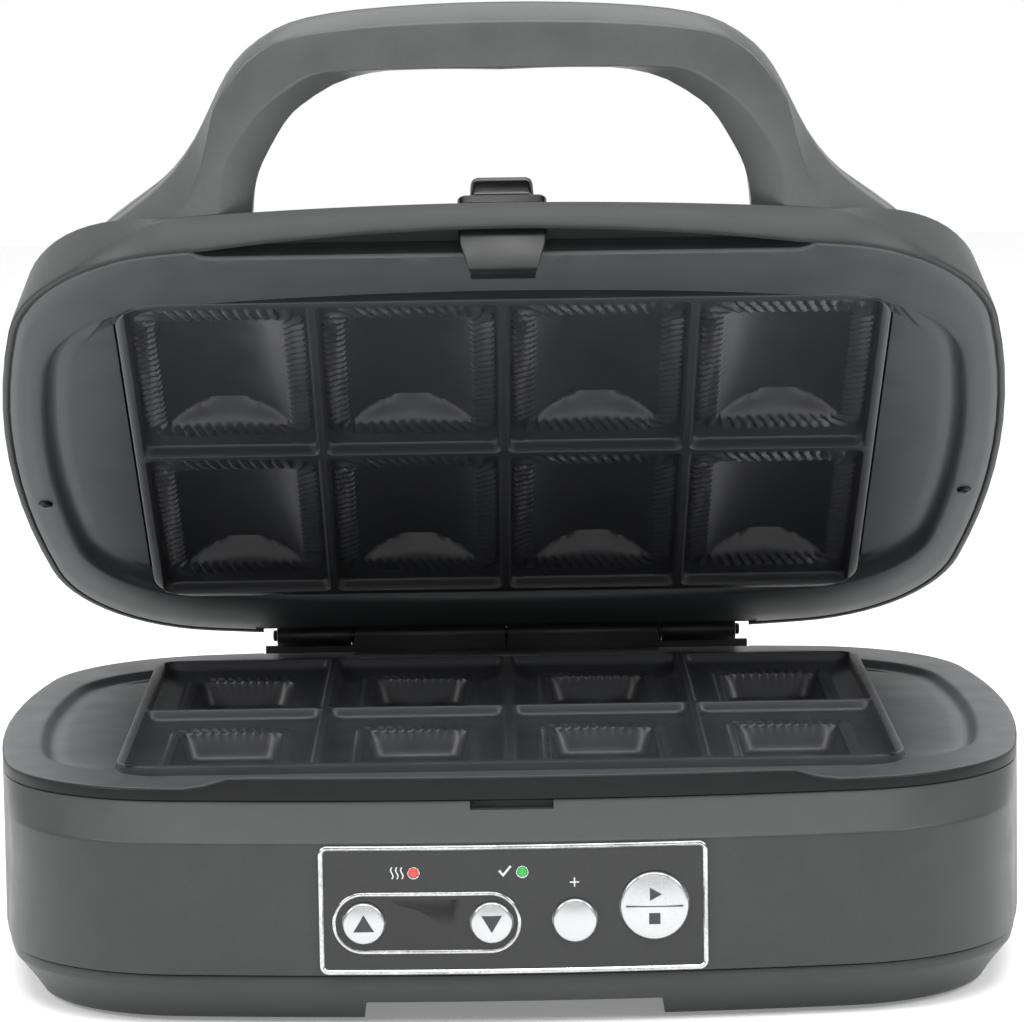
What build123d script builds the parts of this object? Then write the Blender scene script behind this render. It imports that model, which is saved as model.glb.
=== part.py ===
from build123d import *
import math
import os

# Countertop pie maker with a hinged lid, four by two long pockets, an arched handle and push buttons.
# Millimetres. X right, Y to the rear, Z up from the table.
# The lid is modelled closed, then opened to its rest angle.

# Plan outline, shared by the base and the lid: three bows that meet smoothly in each quarter
half_width = 164.0
front_depth = 141.0
rear_depth = 137.0
rim_front_depth = 129.0  # the base's rim stands back at the front, above the bevel
side_bow = 450.0
end_bow = 810.0
corner_radius = 61.0

# Base heights
foot_height = 1.2
pan_wall = 2.4
pan_taper_height = 11.8
pan_taper = 9.0
pan_lip_height = 3.2
pan_lip_inset = 0.8
seam_gap = 0.2
wall_height = 40.4
bevel_height = 10.6
shell_wall = 2.6
channel_half_width = 45.5
channel_height = 5.7

# Lower deck
deck_rim = 4.0
deck_recess = 2.0
recess_side = 14.0
recess_front = 23.0
recess_rear = 28.0
lip_rise = 3.6
lip_wall = 3.4
lip_half_length = 84.0
lip_run = 14.0

# Baking plates
columns = 4
rows = 2
cell_width = 60.0
cell_depth = 100.0
plate_margin = 2.0
plate_corner = 14.0
flange_overlap = 5.0
cell_corner = 3.0
land_corner = 8.0
pocket_corner = 6.0
pocket_floor_corner = 4.0
land_step = 1.0
plate_rise = 4.8
plate_wall = 3.0
rib = 2.0
land_width = 42.0
land_depth = 80.0
pocket_width = 34.0
pocket_depth = 74.0
pocket_drop = 9.6
pocket_draft = 2.7
vault_width = 41.0
vault_depth = 70.0
vault_rise = 8.4
upper_land_width = 55.0
upper_land_depth = 92.0
plate_gap = 0.3
opening_clearance = 1.0
boss_x = cell_width
boss_y = 30.0
boss_radius = 4.0

# Heating elements and heat shields
element_radius = 3.1
element_gap = 0.1
element_half_width = 85.0
element_half_depth = 50.0
element_lead_x = 13.0
element_bend = 14.0
shield_wall = 1.0
shield_margin = 2.0
shield_drop = 23.4
upper_shield_rise = 16.6
upper_shield_corner = 30.0
sensor_radius = 8.0
sensor_height = 8.0
fuse_radius = 2.0
fuse_length = 14.0
fuse_y = 24.0
clip_half_width = 4.0
clip_reach = 5.0
screw_margin = 3.0
shield_hole_clearance = 0.1

# Hinge
hinge_y = 138.0
hinge_above_crest = 2.3
barrel_radius = 4.0
pin_radius = 2.0
pin_overhang = 1.5
running_clearance = 0.05
base_barrel = (1.5, 53.5)
lid_barrel = (56.5, 81.5)
notch_half_width = 86.0
notch_y = 130.0
notch_drop = 16.5
notch_rise = 9.0
barrel_web = 6.0
guard_reach = 4.6  # from the pin's line back to the guard
guard_wall = 2.0
guard_low_drop = 4.5
guard_high_rise = 3.5
guard_edge = 2.0
open_at_rest = 35.0

# Lid
lid_gap = 3.4
lid_wall_height = 11.6
lid_shell_wall = 2.4
lid_arch_rise = 3.4  # the front wall's lower edge is arched over the raised lip
lid_arch_half = 92.0
dome = ((4.0, 2.3), (20.0, 11.3), (38.0, 20.1), (55.0, 24.6))  # inset, height above the wall
dome_drop = 2.2
lid_deck_wall = 2.4
lid_recess = 3.8
lid_fit = 0.2
trough_half_width = 100.0
trough_depth = 20.0
lid_screw_y = 31.0
lid_screw_inset = 8.4
lid_boss_radius = 2.8
lid_screw_length = 9.0
lid_screw_head = 2.4
lid_screw_proud = 0.8

# Handle
handle_lean = 45.0
handle_thickness = 20.0
handle_split = 13.0
handle_height = 60.4
handle_outer = ((118.0, -10.0), (101.5, 11.7), (89.0, 31.0), (69.0, 52.5))
handle_hole_height = 41.7
handle_hole = ((77.6, -12.0), (76.6, 6.4), (64.0, 29.0), (40.5, 39.8))
handle_root_y = 1.5
handle_screw_x = (86.0, 97.0)
handle_screw_seat = 6.8  # below the handle's foot
handle_screw_reach = 8.0
handle_foot = 14.0

# Latch
latch_travel = 3.0
tongue_wall = 2.4
tongue_front = 3.8
tongue_half_top = 13.0
tongue_half_bottom = 10.4
tongue_drop = 9.4
nose_height = 1.9
nose_length = 5.2
nose_half_width = 10.0
neck_half_width = 5.0
neck_rise = 5.0
shoulder_drop = 3.0
slot_clearance = 0.5
catch_clearance = 2.0
well_half_width = 14.0
well_front = 1.0
well_depth = 23.0
well_rise = 1.2
bezel_height = 2.6
slider_half_width = 9.8
slider_length = 11.5
slider_height = 7.7
slider_clearance = 0.1
slider_lead = 1.2
slider_edge = 1.6
grip_pitch = 2.4
grip_width = 1.0
grip_depth = 0.6
grip_margin = 2.5
bezel_clearance = 0.3
bezel_corner = 2.0

# Fascia
fascia_width = 114.0
fascia_height = 36.3
fascia_corner = 1.2
fascia_z = 36.6
fascia_proud = 0.7
fascia_wall = 2.9
fascia_clearance = 0.1
fascia_reach = 10.0  # how far the cutting tools run past the front wall
frame_width = 1.5
frame_proud = 1.3
window_x = -26.1
window_z = 32.7
window_width = 56.9
window_height = 18.9
window_ring = 1.2
window_ring_proud = 1.3
window_depth = 1.2
window_proud = 0.9
pill_flat = 0.01  # keeps a trace of straight side between the round ends
lamp_x = (-29.8, 2.8)
lamp_z = 48.0
lamp_radius = 1.4
lamp_ring = 0.5
lamp_proud = 0.6
lamp_edge = 0.5
buttons = {  # name: centre X, centre Z, radius
    "up_button": (-45.0, 32.8, 6.3),
    "down_button": (-6.6, 32.8, 6.3),
    "extra_button": (18.4, 33.1, 6.6),
    "start_button": (42.3, 37.0, 10.3),
}
button_clearance = 0.25
button_proud = 2.4
button_flange = 1.0
button_flange_wall = 1.2
button_dome = 0.8
button_travel = 1.2
stem_radius = 2.0

# Control board and power board
board_y = 12.0  # behind the inside of the fascia
board_wall = 1.6
board_width = 110.0
board_height = 33.0
board_post_x = 52.0
board_post_z = 13.5
board_post_radius = 2.5
switch_size = 6.0
switch_height = 3.5
display_width = 21.0
display_height = 14.4
power_board_centre = (-85.0, 60.0)
power_board_size = (60.0, 44.0)
power_post_height = 8.0
power_post_inset = 4.0
relay_x = -10.0  # from the board's centre
capacitor_x = 18.0
relay_size = (28.0, 13.0, 16.0)
capacitor_radius = 6.0
capacitor_height = 18.0

# Screws
screw_radius = 1.5
screw_head_radius = 3.0
screw_head_height = 2.4
screw_length = 18.0
board_screw_radius = 1.1
board_screw_head = 2.2
board_screw_head_height = 1.6
board_screw_depth = 6.0

# Base posts, feet and cord gland
post_inset = 12.0
post_radius = 5.2
post_bore_clearance = 0.4
post_ledge = 8.0
deck_boss_drop = 15.0
foot_radius = 9.0
foot_x = 118.0
foot_y = 84.0
foot_seat = 1.0
gland_z = 34.0
gland_radius = 6.0
gland_flange = 2.5
gland_flange_wall = 2.0
gland_length = 16.0
cord_bore = 3.6

# Heights worked out from the stack
pan_bottom = foot_height
pan_lip_z = pan_bottom + pan_taper_height
seam_z = pan_lip_z + pan_lip_height
housing_z = seam_z + seam_gap
crease_z = housing_z + wall_height
housing_top = crease_z + bevel_height
rim_top = housing_top + deck_rim
recess_z = rim_top - deck_recess
crest_z = recess_z + plate_rise
hinge_z = crest_z + hinge_above_crest
lid_z = rim_top + lid_gap
lid_wall_top = lid_z + lid_wall_height
upper_crest_z = crest_z + plate_gap
upper_recess_z = lid_z + lid_recess
lid_deck_top = upper_recess_z + lid_deck_wall
plate_half_x = columns * cell_width / 2 + plate_margin
plate_half_y = rows * cell_depth / 2 + plate_margin
body_half_x = plate_half_x - flange_overlap
body_half_y = plate_half_y - flange_overlap


def bow_centres(half_depth):
    """Centres of the side bow, the end bow and the corner circle between them, in the quarter x, y > 0."""
    side = (half_width - side_bow, 0.0)
    end = (0.0, half_depth - end_bow)
    reach_side = side_bow - corner_radius
    reach_end = end_bow - corner_radius
    gap = math.dist(side, end)
    along = (reach_side**2 - reach_end**2 + gap**2) / (2 * gap)
    across = math.sqrt(reach_side**2 - along**2)
    ux = (end[0] - side[0]) / gap
    uy = (end[1] - side[1]) / gap
    corner = (side[0] + along * ux - across * uy, side[1] + along * uy + across * ux)
    if corner[0] < 0 or corner[1] < 0:
        corner = (side[0] + along * ux + across * uy, side[1] + along * uy - across * ux)
    return side, end, corner


def quarter(half_depth, inset):
    """Three arcs from the side's middle to the end's middle, each as start, middle and end points."""
    side, end, corner = bow_centres(half_depth)
    turn_1 = math.atan2(corner[1] - side[1], corner[0] - side[0])
    turn_2 = math.atan2(corner[1] - end[1], corner[0] - end[0])
    spans = (
        (side, side_bow - inset, 0.0, turn_1),
        (corner, corner_radius - inset, turn_1, turn_2),
        (end, end_bow - inset, turn_2, math.pi / 2),
    )
    arcs = []
    for centre, radius, start, stop in spans:
        arc = []
        for a in (start, (start + stop) / 2, stop):
            arc.append((centre[0] + radius * math.cos(a), centre[1] + radius * math.sin(a)))
        arcs.append(arc)
    return arcs


def plan(front, rear, inset=0.0, z=0.0):
    """The plan outline as a flat face at height z, drawn in by inset."""
    edges = []
    for flip_x, flip_y, depth in ((1, 1, rear), (-1, 1, rear), (-1, -1, front), (1, -1, front)):
        arcs = quarter(depth, inset)
        if flip_x * flip_y < 0:
            arcs = [list(reversed(arc)) for arc in reversed(arcs)]
        for arc in arcs:
            points = [(flip_x * x, flip_y * y, z) for x, y in arc]
            edges.append(ThreePointArc(*points))
    return Face(Wire(edges))


def wall_plan(inset=0.0, z=0.0):
    return plan(front_depth, rear_depth, inset, z)


def rim_plan(inset=0.0, z=0.0):
    return plan(rim_front_depth, rear_depth, inset, z)


def recess_plan(inset=0.0, z=0.0):
    """Outline of the sunk area round a plate."""
    front = rim_front_depth - recess_front + recess_side
    rear = rear_depth - recess_rear + recess_side
    return plan(front, rear, recess_side + inset, z)


def rise(face, height):
    return extrude(face, amount=height, dir=(0, 0, 1))


def block(x0, x1, y0, y1, z0, z1):
    centre = Pos((x0 + x1) / 2, (y0 + y1) / 2, (z0 + z1) / 2)
    return centre * Box(x1 - x0, y1 - y0, z1 - z0)


def slab(half_x, half_y, radius, z0, z1):
    """A plate with rounded corners between two heights."""
    return rise(Pos(0, 0, z0) * RectangleRounded(2 * half_x, 2 * half_y, radius), z1 - z0)


def tapered(width_0, depth_0, radius_0, z0, width_1, depth_1, radius_1, z1):
    low = Pos(0, 0, z0) * RectangleRounded(width_0, depth_0, radius_0)
    high = Pos(0, 0, z1) * RectangleRounded(width_1, depth_1, radius_1)
    return loft([low, high])


def rod_x(radius, x0, x1, y, z):
    return Pos((x0 + x1) / 2, y, z) * Rot(0, 90, 0) * Cylinder(radius, x1 - x0)


def rod_y(radius, x, y0, y1, z):
    return Pos(x, (y0 + y1) / 2, z) * Rot(90, 0, 0) * Cylinder(radius, y1 - y0)


def rod_z(radius, x, y, z0, z1):
    return Pos(x, y, (z0 + z1) / 2) * Cylinder(radius, z1 - z0)


def front_y(x, inset=0.0):
    """Where the front wall's bow lies at x."""
    return end_bow - front_depth - math.sqrt((end_bow - inset) ** 2 - x**2)


def cells():
    """Centres of the cells, front row first."""
    for row in range(rows):
        for column in range(columns):
            x = (column - (columns - 1) / 2) * cell_width
            y = (row - (rows - 1) / 2) * cell_depth
            yield x, y


def corner_posts():
    """Places of the four base screws, near the corners of the rim."""
    for depth, flip_y in ((rim_front_depth, -1), (rear_depth, 1)):
        middle = quarter(depth, post_inset)[1][1]
        for flip_x in (-1, 1):
            yield flip_x * middle[0], flip_y * middle[1]


def plate_bosses():
    for x in (-boss_x, boss_x):
        for y in (-boss_y, boss_y):
            yield x, y


def hinge_notch(z0, z1, wall=0.0):
    half = notch_half_width + wall
    return block(-half, half, notch_y - wall, rear_depth + 20.0, z0 - wall, z1 + wall)


def barrels(spans, web_z, bore):
    """Hinge barrels on webs that run to the height web_z, on both sides of the middle."""
    shape = None
    for start, stop in spans:
        for x0, x1 in ((start, stop), (-stop, -start)):
            low, high = sorted((hinge_z, web_z))
            web = block(x0, x1, hinge_y - barrel_radius, hinge_y - barrel_radius + barrel_web, low, high)
            piece = rod_x(barrel_radius, x0, x1, hinge_y, hinge_z) + web
            shape = piece if shape is None else shape + piece
    return shape - rod_x(bore, -notch_half_width, notch_half_width, hinge_y, hinge_z)


def hinge_guard(floor_z):
    """A wall behind the barrels, on a ledge; it is higher behind the base's own barrels."""
    front = hinge_y + guard_reach
    back = front + guard_wall
    under = floor_z - shell_wall
    shape = None
    low = (notch_half_width, hinge_z - guard_low_drop)
    high = (base_barrel[1] + 1, hinge_z + guard_high_rise)
    for half, top in (low, high):
        outline = Polyline(
            (notch_y, under), (back - guard_edge, under), (back, under + guard_edge),
            (back, top), (front, top), (front, floor_z), (notch_y, floor_z), close=True,
        )
        face = Pos(-half, 0, 0) * (Plane.YZ * make_face(outline))
        piece = extrude(face, amount=2 * half, dir=(1, 0, 0))
        shape = piece if shape is None else shape + piece
    return shape


def bevelled(inset, z0, z1):
    """Upright wall up to the crease, then the bevel that leans back to the rim."""
    wall = rise(wall_plan(inset, z0), crease_z - z0)
    bevel = loft([wall_plan(inset, crease_z), rim_plan(inset, z1)], ruled=True)
    return wall + bevel


def make_base_housing():
    floor_z = hinge_z - notch_drop
    outer = bevelled(0.0, housing_z, housing_top) - hinge_notch(floor_z, housing_top + 1)
    inner = bevelled(shell_wall, housing_z, housing_top)
    shape = outer - (inner - hinge_notch(floor_z, housing_top + 1, shell_wall))
    shape += barrels([base_barrel], floor_z, pin_radius)
    shape += hinge_guard(floor_z)
    half_x = fascia_width / 2 + fascia_clearance
    half_z = fascia_height / 2 + fascia_clearance
    shape -= block(-half_x, half_x, -front_depth - 10, -100, fascia_z - half_z, fascia_z + half_z)
    tip = rim_front_depth - latch_travel - catch_clearance
    half = nose_half_width + catch_clearance
    slot_z = housing_top - nose_height - slot_clearance
    shape -= block(-half, half, -front_depth, -tip, slot_z, housing_top)
    shape -= rod_y(gland_radius, 0, rear_depth - gland_length, rear_depth + gland_length, gland_z)
    return shape


def pan_body(inset, z0):
    """The pan's tapered foot and its upright lip."""
    lip = rise(wall_plan(pan_lip_inset + inset, pan_lip_z), pan_lip_height)
    low = wall_plan(pan_lip_inset + pan_taper + inset, z0)
    return lip + loft([low, wall_plan(pan_lip_inset + inset, pan_lip_z)], ruled=True)


def make_base_pan():
    reach = front_depth + 10
    channel_top = pan_bottom + channel_height
    channel = block(-channel_half_width, channel_half_width, -reach, reach, 0, channel_top)
    half = channel_half_width + pan_wall
    top = pan_bottom + channel_height + pan_wall
    shape = (pan_body(0, pan_bottom) - channel) - (
        pan_body(pan_wall, pan_bottom + pan_wall) - block(-half, half, -reach, reach, 0, top)
    )
    ledge_z = housing_top - deck_boss_drop
    for x, y in corner_posts():
        shape += rod_z(post_radius, x, y, pan_bottom, ledge_z)
    for x, y in corner_posts():
        shape -= rod_z(screw_head_radius + post_bore_clearance, x, y, 0, ledge_z - post_ledge)
        shape -= rod_z(screw_radius + post_bore_clearance, x, y, 0, ledge_z)
    for x, y in foot_places():
        shape -= rod_z(foot_radius, x, y, 0, pan_bottom + foot_seat)
    floor_z = pan_bottom + pan_wall
    for x, y in power_posts():
        shape += rod_z(board_post_radius, x, y, floor_z, floor_z + power_post_height)
    return shape


def foot_places():
    for x in (-foot_x, foot_x):
        for y in (-foot_y, foot_y):
            yield x, y


def make_rubber_feet():
    return [rod_z(foot_radius, x, y, 0, pan_bottom + foot_seat) for x, y in foot_places()]


def make_base_screws():
    ledge_z = housing_top - deck_boss_drop
    seat = ledge_z - post_ledge
    screws = []
    for x, y in corner_posts():
        head = rod_z(screw_head_radius, x, y, seat - screw_head_height, seat)
        screws.append(head + rod_z(screw_radius, x, y, seat, seat + screw_length))
    return screws


def plate_opening(z0, z1):
    clear = opening_clearance
    return slab(body_half_x + clear, body_half_y + clear, plate_corner, z0, z1)


def plate_seat(z0, z1):
    """Room in a deck for a plate's flange, whose corners reach past the sunk area."""
    clear = opening_clearance
    return slab(plate_half_x + clear, plate_half_y + clear, plate_corner + clear, z0, z1)


def make_lower_deck():
    shape = rise(rim_plan(0, housing_top), deck_rim)
    ring = rise(rim_plan(0, rim_top), lip_rise) - rise(rim_plan(lip_wall, rim_top), lip_rise)
    foot = lip_half_length + lip_run
    outline = Polyline(
        (-foot, rim_top), (-lip_half_length, rim_top + lip_rise), (lip_half_length, rim_top + lip_rise),
        (foot, rim_top), close=True,
    )
    gable = Plane.XZ * make_face(outline)
    shape += ring & extrude(gable, amount=front_depth)
    shape -= rise(recess_plan(0, recess_z), deck_recess)
    shape -= plate_seat(recess_z, rim_top)
    shape -= hinge_notch(housing_top - 1, rim_top + 10)
    shape -= plate_opening(housing_top, rim_top)
    for x, y in corner_posts():
        shape += rod_z(boss_radius, x, y, housing_top - deck_boss_drop, housing_top)
    for x, y in corner_posts():
        depth = screw_length - post_ledge
        low = housing_top - deck_boss_drop
        shape -= rod_z(screw_radius, x, y, low, low + depth)
    return shape


def make_lower_plate():
    shape = slab(plate_half_x, plate_half_y, plate_corner, recess_z, crest_z)
    for x, y in cells():
        well = tapered(
            land_width, land_depth, land_corner, recess_z,
            cell_width - rib, cell_depth - rib, cell_corner, crest_z,
        )
        shape -= Pos(x, y, 0) * well
    shape += slab(body_half_x, body_half_y, plate_corner, recess_z - plate_wall, recess_z)
    floor_z = recess_z - pocket_drop
    for x, y in cells():
        shape += Pos(x, y, 0) * pocket_form(plate_wall, floor_z - plate_wall, recess_z - plate_wall)
    for x, y in cells():
        shape -= Pos(x, y, 0) * pocket_form(0, floor_z, recess_z)
    shield_z = recess_z - shield_drop
    for x, y in plate_bosses():
        shape += rod_z(boss_radius, x, y, shield_z, recess_z - plate_wall)
    for x, y in plate_bosses():
        shape -= rod_z(screw_radius, x, y, shield_z, recess_z - plate_wall - screw_margin)
    return shape


def pocket_form(wall, z0, z1):
    """A pocket, or the metal round it where wall is the thickness."""
    wide = pocket_width + 2 * wall
    deep = pocket_depth + 2 * wall
    draft = 2 * pocket_draft
    low_corner = pocket_floor_corner + wall / 2
    return tapered(wide - draft, deep - draft, low_corner, z0, wide, deep, pocket_corner + wall / 2, z1)


def element_path(lead_y):
    w = element_half_width
    d = element_half_depth
    x = element_lead_x
    corners = [(-x, lead_y), (-x, d), (-w, d), (-w, -d), (w, -d), (w, d), (x, d), (x, lead_y)]
    return FilletPolyline(*corners, radius=element_bend)


def element(z):
    path = element_path(body_half_y)
    section = Plane(origin=path @ 0, z_dir=path % 0) * Circle(element_radius)
    return Pos(0, 0, z) * sweep(section, path=path)


def lower_element_z():
    return recess_z - pocket_drop - plate_wall - element_radius - element_gap


def shield(z0, z1, floor_z, corner):
    """A sheet tray with its floor at floor_z and walls up or down to the deck."""
    half_x = plate_half_x + shield_margin
    half_y = plate_half_y + shield_margin
    outer = slab(half_x, half_y, corner, z0, z1)
    low = z0 + shield_wall if floor_z == z0 else z0
    high = z1 if floor_z == z0 else z1 - shield_wall
    inner = slab(half_x - shield_wall, half_y - shield_wall, corner - shield_wall, low, high)
    shape = outer - inner
    for x, y in plate_bosses():
        shape -= rod_z(screw_radius + shield_hole_clearance, x, y, z0, z1)
    return shape


def make_lower_shield():
    floor_z = recess_z - shield_drop - shield_wall
    shape = shield(floor_z, housing_top, floor_z, plate_corner)
    lead = element_lead_x + 2 * element_radius
    z = lower_element_z()
    half = 2 * element_radius
    shape -= block(-lead, lead, body_half_y, plate_half_y + 2 * shield_margin, z - half, z + half)
    return shape


def make_lower_plate_screws():
    seat = recess_z - shield_drop - shield_wall
    tip = recess_z - plate_wall - screw_margin
    screws = []
    for x, y in plate_bosses():
        head = rod_z(screw_head_radius, x, y, seat - screw_head_height, seat)
        screws.append(head + rod_z(screw_radius, x, y, seat, tip))
    return screws


def make_element_clips():
    """Straps under the lower element, each with a foot that reaches up to the plate."""
    top = lower_element_z() - element_radius
    low = top - shield_wall
    straps = []
    for x in (-cell_width, cell_width):
        x0 = x - clip_half_width
        x1 = x + clip_half_width
        for y in (-element_half_depth, element_half_depth):
            strap = block(x0, x1, y - clip_reach, y + clip_reach, low, top)
            edge = y + clip_reach
            foot = block(x0, x1, edge, edge + shield_wall, low, recess_z - plate_wall)
            straps.append(strap + foot)
    return straps


def make_thermal_fuse():
    z = recess_z - plate_wall - fuse_radius - element_gap
    return rod_x(fuse_radius, -fuse_length / 2, fuse_length / 2, fuse_y, z)


def front_slice(proud, sunk, tool):
    """What a tool cuts out of a skin that follows the front wall, from proud of it to sunk into it."""
    height = wall_height + 20
    low = housing_z - 10
    skin = rise(wall_plan(-proud, low), height) - rise(wall_plan(sunk, low), height)
    front = block(-half_width, half_width, -front_depth - 10, 0, low, low + height)
    return (skin & front) & tool


def fascia_prism(width, height, radius, x=0.0, z=None):
    centre_z = fascia_z if z is None else z
    flat = Plane.XZ * Pos(x, centre_z) * RectangleRounded(width, height, radius)
    return extrude(flat, amount=front_depth + 10)


def window_prism(border):
    width = window_width + 2 * border
    height = window_height + 2 * border
    return fascia_prism(width, height, height / 2 - pill_flat, window_x, window_z)


def button_bores(clearance):
    shape = None
    for x, z, radius in buttons.values():
        rod = rod_y(radius + clearance, x, -front_depth - 10, -front_depth + 15, z)
        shape = rod if shape is None else shape + rod
    return shape


def make_fascia_panel():
    prism = fascia_prism(fascia_width, fascia_height, fascia_corner)
    shape = front_slice(fascia_proud, fascia_wall, prism)
    back = -front_depth + board_y
    for x, z in board_posts():
        shape += rod_y(board_post_radius, x, front_y(x, fascia_wall / 2), back, z)
        shape -= rod_y(board_screw_radius, x, back - board_screw_depth, back, z)
    shape -= front_slice(fascia_proud + 1, window_depth, window_prism(-window_ring))
    shape -= button_bores(button_clearance)
    for x in lamp_x:
        shape -= rod_y(lamp_radius, x, -front_depth - 10, -front_depth + 10, lamp_z)
    x, z = window_x, window_z
    half_w = display_width / 2 + button_clearance
    half_h = display_height / 2 + button_clearance
    reach = -front_depth + fascia_reach
    shape -= block(x - half_w, x + half_w, -front_depth, reach, z - half_h, z + half_h)
    return shape


def make_fascia_frame():
    grow = 2 * (frame_width + fascia_clearance)
    outer = fascia_prism(fascia_width + grow, fascia_height + grow, fascia_corner + frame_width)
    gap = 2 * fascia_clearance
    inner = fascia_prism(fascia_width + gap, fascia_height + gap, fascia_corner)
    return front_slice(frame_proud, 0, outer - inner)


def make_display_ring():
    return front_slice(window_ring_proud, -fascia_proud, window_prism(0) - window_prism(-window_ring))


def make_display_window():
    pane = front_slice(window_proud, window_depth, window_prism(-window_ring))
    return pane - button_bores(button_clearance)


def make_display_module():
    x, z = window_x, window_z
    back = -front_depth + board_y
    half_w = display_width / 2
    half_h = display_height / 2
    front = front_y(abs(x) + half_w, window_depth) + fascia_clearance
    return block(x - half_w, x + half_w, front, back, z - half_h, z + half_h)


def make_lamp(x):
    lens = rod_y(lamp_radius, x, front_y(x) - fascia_proud - lamp_proud, front_y(x, fascia_wall), lamp_z)
    return fillet(lens.edges().sort_by(Axis.Y)[0], lamp_edge)


def make_lamp_rings():
    outer = [rod_y(lamp_radius + lamp_ring, x, -front_depth - 10, 0, lamp_z) for x in lamp_x]
    inner = [rod_y(lamp_radius, x, -front_depth - 10, 0, lamp_z) for x in lamp_x]
    return [front_slice(fascia_proud + lamp_ring, -fascia_proud, o - i) for o, i in zip(outer, inner)]


def button_inside(x, radius):
    """The inner face of the fascia at the edge of a button's flange, which clears the bow there."""
    reach = abs(x) + radius + button_flange
    return front_y(reach, fascia_wall)


def make_button(x, z, radius):
    face = front_y(x) - fascia_proud - button_proud
    seat = button_inside(x, radius) + fascia_clearance
    cap = rod_y(radius, x, face, seat, z)
    cap = fillet(cap.edges().sort_by(Axis.Y)[0], button_dome)
    flange = rod_y(radius + button_flange, x, seat, seat + button_flange_wall, z)
    tip = -front_depth + board_y - switch_height - button_travel - fascia_clearance
    return cap + flange + rod_y(stem_radius, x, seat + button_flange_wall, tip, z)


def board_posts():
    for x in (-board_post_x, board_post_x):
        for z in (fascia_z - board_post_z, fascia_z + board_post_z):
            yield x, z


def make_control_board():
    front = -front_depth + board_y
    z = fascia_z
    shape = block(
        -board_width / 2, board_width / 2, front, front + board_wall,
        z - board_height / 2, z + board_height / 2,
    )
    for x, post_z in board_posts():
        shape -= rod_y(board_screw_radius, x, front, front + board_wall, post_z)
    return shape


def make_board_screws():
    front = -front_depth + board_y
    screws = []
    for x, z in board_posts():
        back = front + board_wall
        head = rod_y(board_screw_head, x, back, back + board_screw_head_height, z)
        screws.append(head + rod_y(board_screw_radius, x, front - board_screw_depth, back, z))
    return screws


def make_tact_switches():
    front = -front_depth + board_y
    half = switch_size / 2
    low = front - switch_height
    return [block(x - half, x + half, low, front, z - half, z + half) for x, z, _ in buttons.values()]


def make_indicator_leds():
    back = -front_depth + board_y
    front = [front_y(x, fascia_wall) + fascia_clearance for x in lamp_x]
    return [rod_y(lamp_radius, x, y, back, lamp_z) for x, y in zip(lamp_x, front)]


def power_posts():
    cx, cy = power_board_centre
    sx, sy = power_board_size
    for x in (cx - sx / 2 + power_post_inset, cx + sx / 2 - power_post_inset):
        for y in (cy - sy / 2 + power_post_inset, cy + sy / 2 - power_post_inset):
            yield x, y


def power_board_z():
    return pan_bottom + pan_wall + power_post_height


def make_power_board():
    cx, cy = power_board_centre
    sx, sy = power_board_size
    z = power_board_z()
    return block(cx - sx / 2, cx + sx / 2, cy - sy / 2, cy + sy / 2, z, z + board_wall)


def make_relay():
    cx, cy = power_board_centre
    sx, sy, sz = relay_size
    z = power_board_z() + board_wall
    x = cx + relay_x
    return block(x - sx / 2, x + sx / 2, cy - sy / 2, cy + sy / 2, z, z + sz)


def make_capacitor():
    cx, cy = power_board_centre
    z = power_board_z() + board_wall
    return rod_z(capacitor_radius, cx + capacitor_x, cy, z, z + capacitor_height)


def make_cord_gland():
    back = rear_depth
    shape = rod_y(gland_radius, 0, back - gland_length + gland_flange_wall, back, gland_z)
    shape += rod_y(gland_radius + gland_flange, 0, back, back + gland_flange_wall, gland_z)
    inside = back - shell_wall - fascia_clearance
    shape += rod_y(gland_radius + gland_flange, 0, inside - gland_flange_wall, inside, gland_z)
    return shape - rod_y(cord_bore, 0, back - gland_length, back + gland_flange_wall, gland_z)


def make_hinge_pin():
    reach = lid_barrel[1] + pin_overhang
    return rod_x(pin_radius, -reach, reach, hinge_y, hinge_z)


# The lid's pieces, in the closed pose

def lid_form(inset, drop, z0):
    """The lid's outer form, or its cavity where inset and drop are the wall."""
    wall = rise(wall_plan(inset, z0), lid_wall_top - drop - z0)
    sections = [wall_plan(inset, lid_wall_top - drop)]
    sections += [wall_plan(inset + step, lid_wall_top - drop + height) for step, height in dome]
    return wall + loft(sections, ruled=True)


def latch_well(wall=0.0):
    floor_z = lid_wall_top + well_rise
    half = well_half_width + wall
    y0 = -front_depth + well_front - wall
    return block(-half, half, y0, y0 + well_depth + 2 * wall, floor_z - wall, floor_z + 60)


def neck_slot(half, z0, z1):
    front = -front_depth + tongue_front - slot_clearance
    back = front + tongue_wall + latch_travel + 2 * slot_clearance
    return block(-half - slot_clearance, half + slot_clearance, front, back, z0, z1)


def lid_screw_places():
    x = half_width - side_bow + math.sqrt((side_bow - lid_screw_inset) ** 2 - lid_screw_y**2)
    return [(-x, lid_screw_y), (x, lid_screw_y)]


def lid_outer():
    return lid_form(0, 0, lid_z)


def front_arch():
    """What is cut from the lower edge of the lid's front wall."""
    ends = ((-lid_arch_half, lid_z), (lid_arch_half, lid_z))
    arc = ThreePointArc(ends[0], (0, lid_z + lid_arch_rise), ends[1])
    low = Polyline(ends[1], (lid_arch_half, lid_z - 5), (-lid_arch_half, lid_z - 5), ends[0])
    face = Plane.XZ * make_face(Wire([arc] + low.edges()))
    depth = 2 * lid_shell_wall + lid_arch_half**2 / (2 * end_bow)
    return Pos(0, depth - front_depth, 0) * extrude(face, amount=2 * depth)


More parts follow.
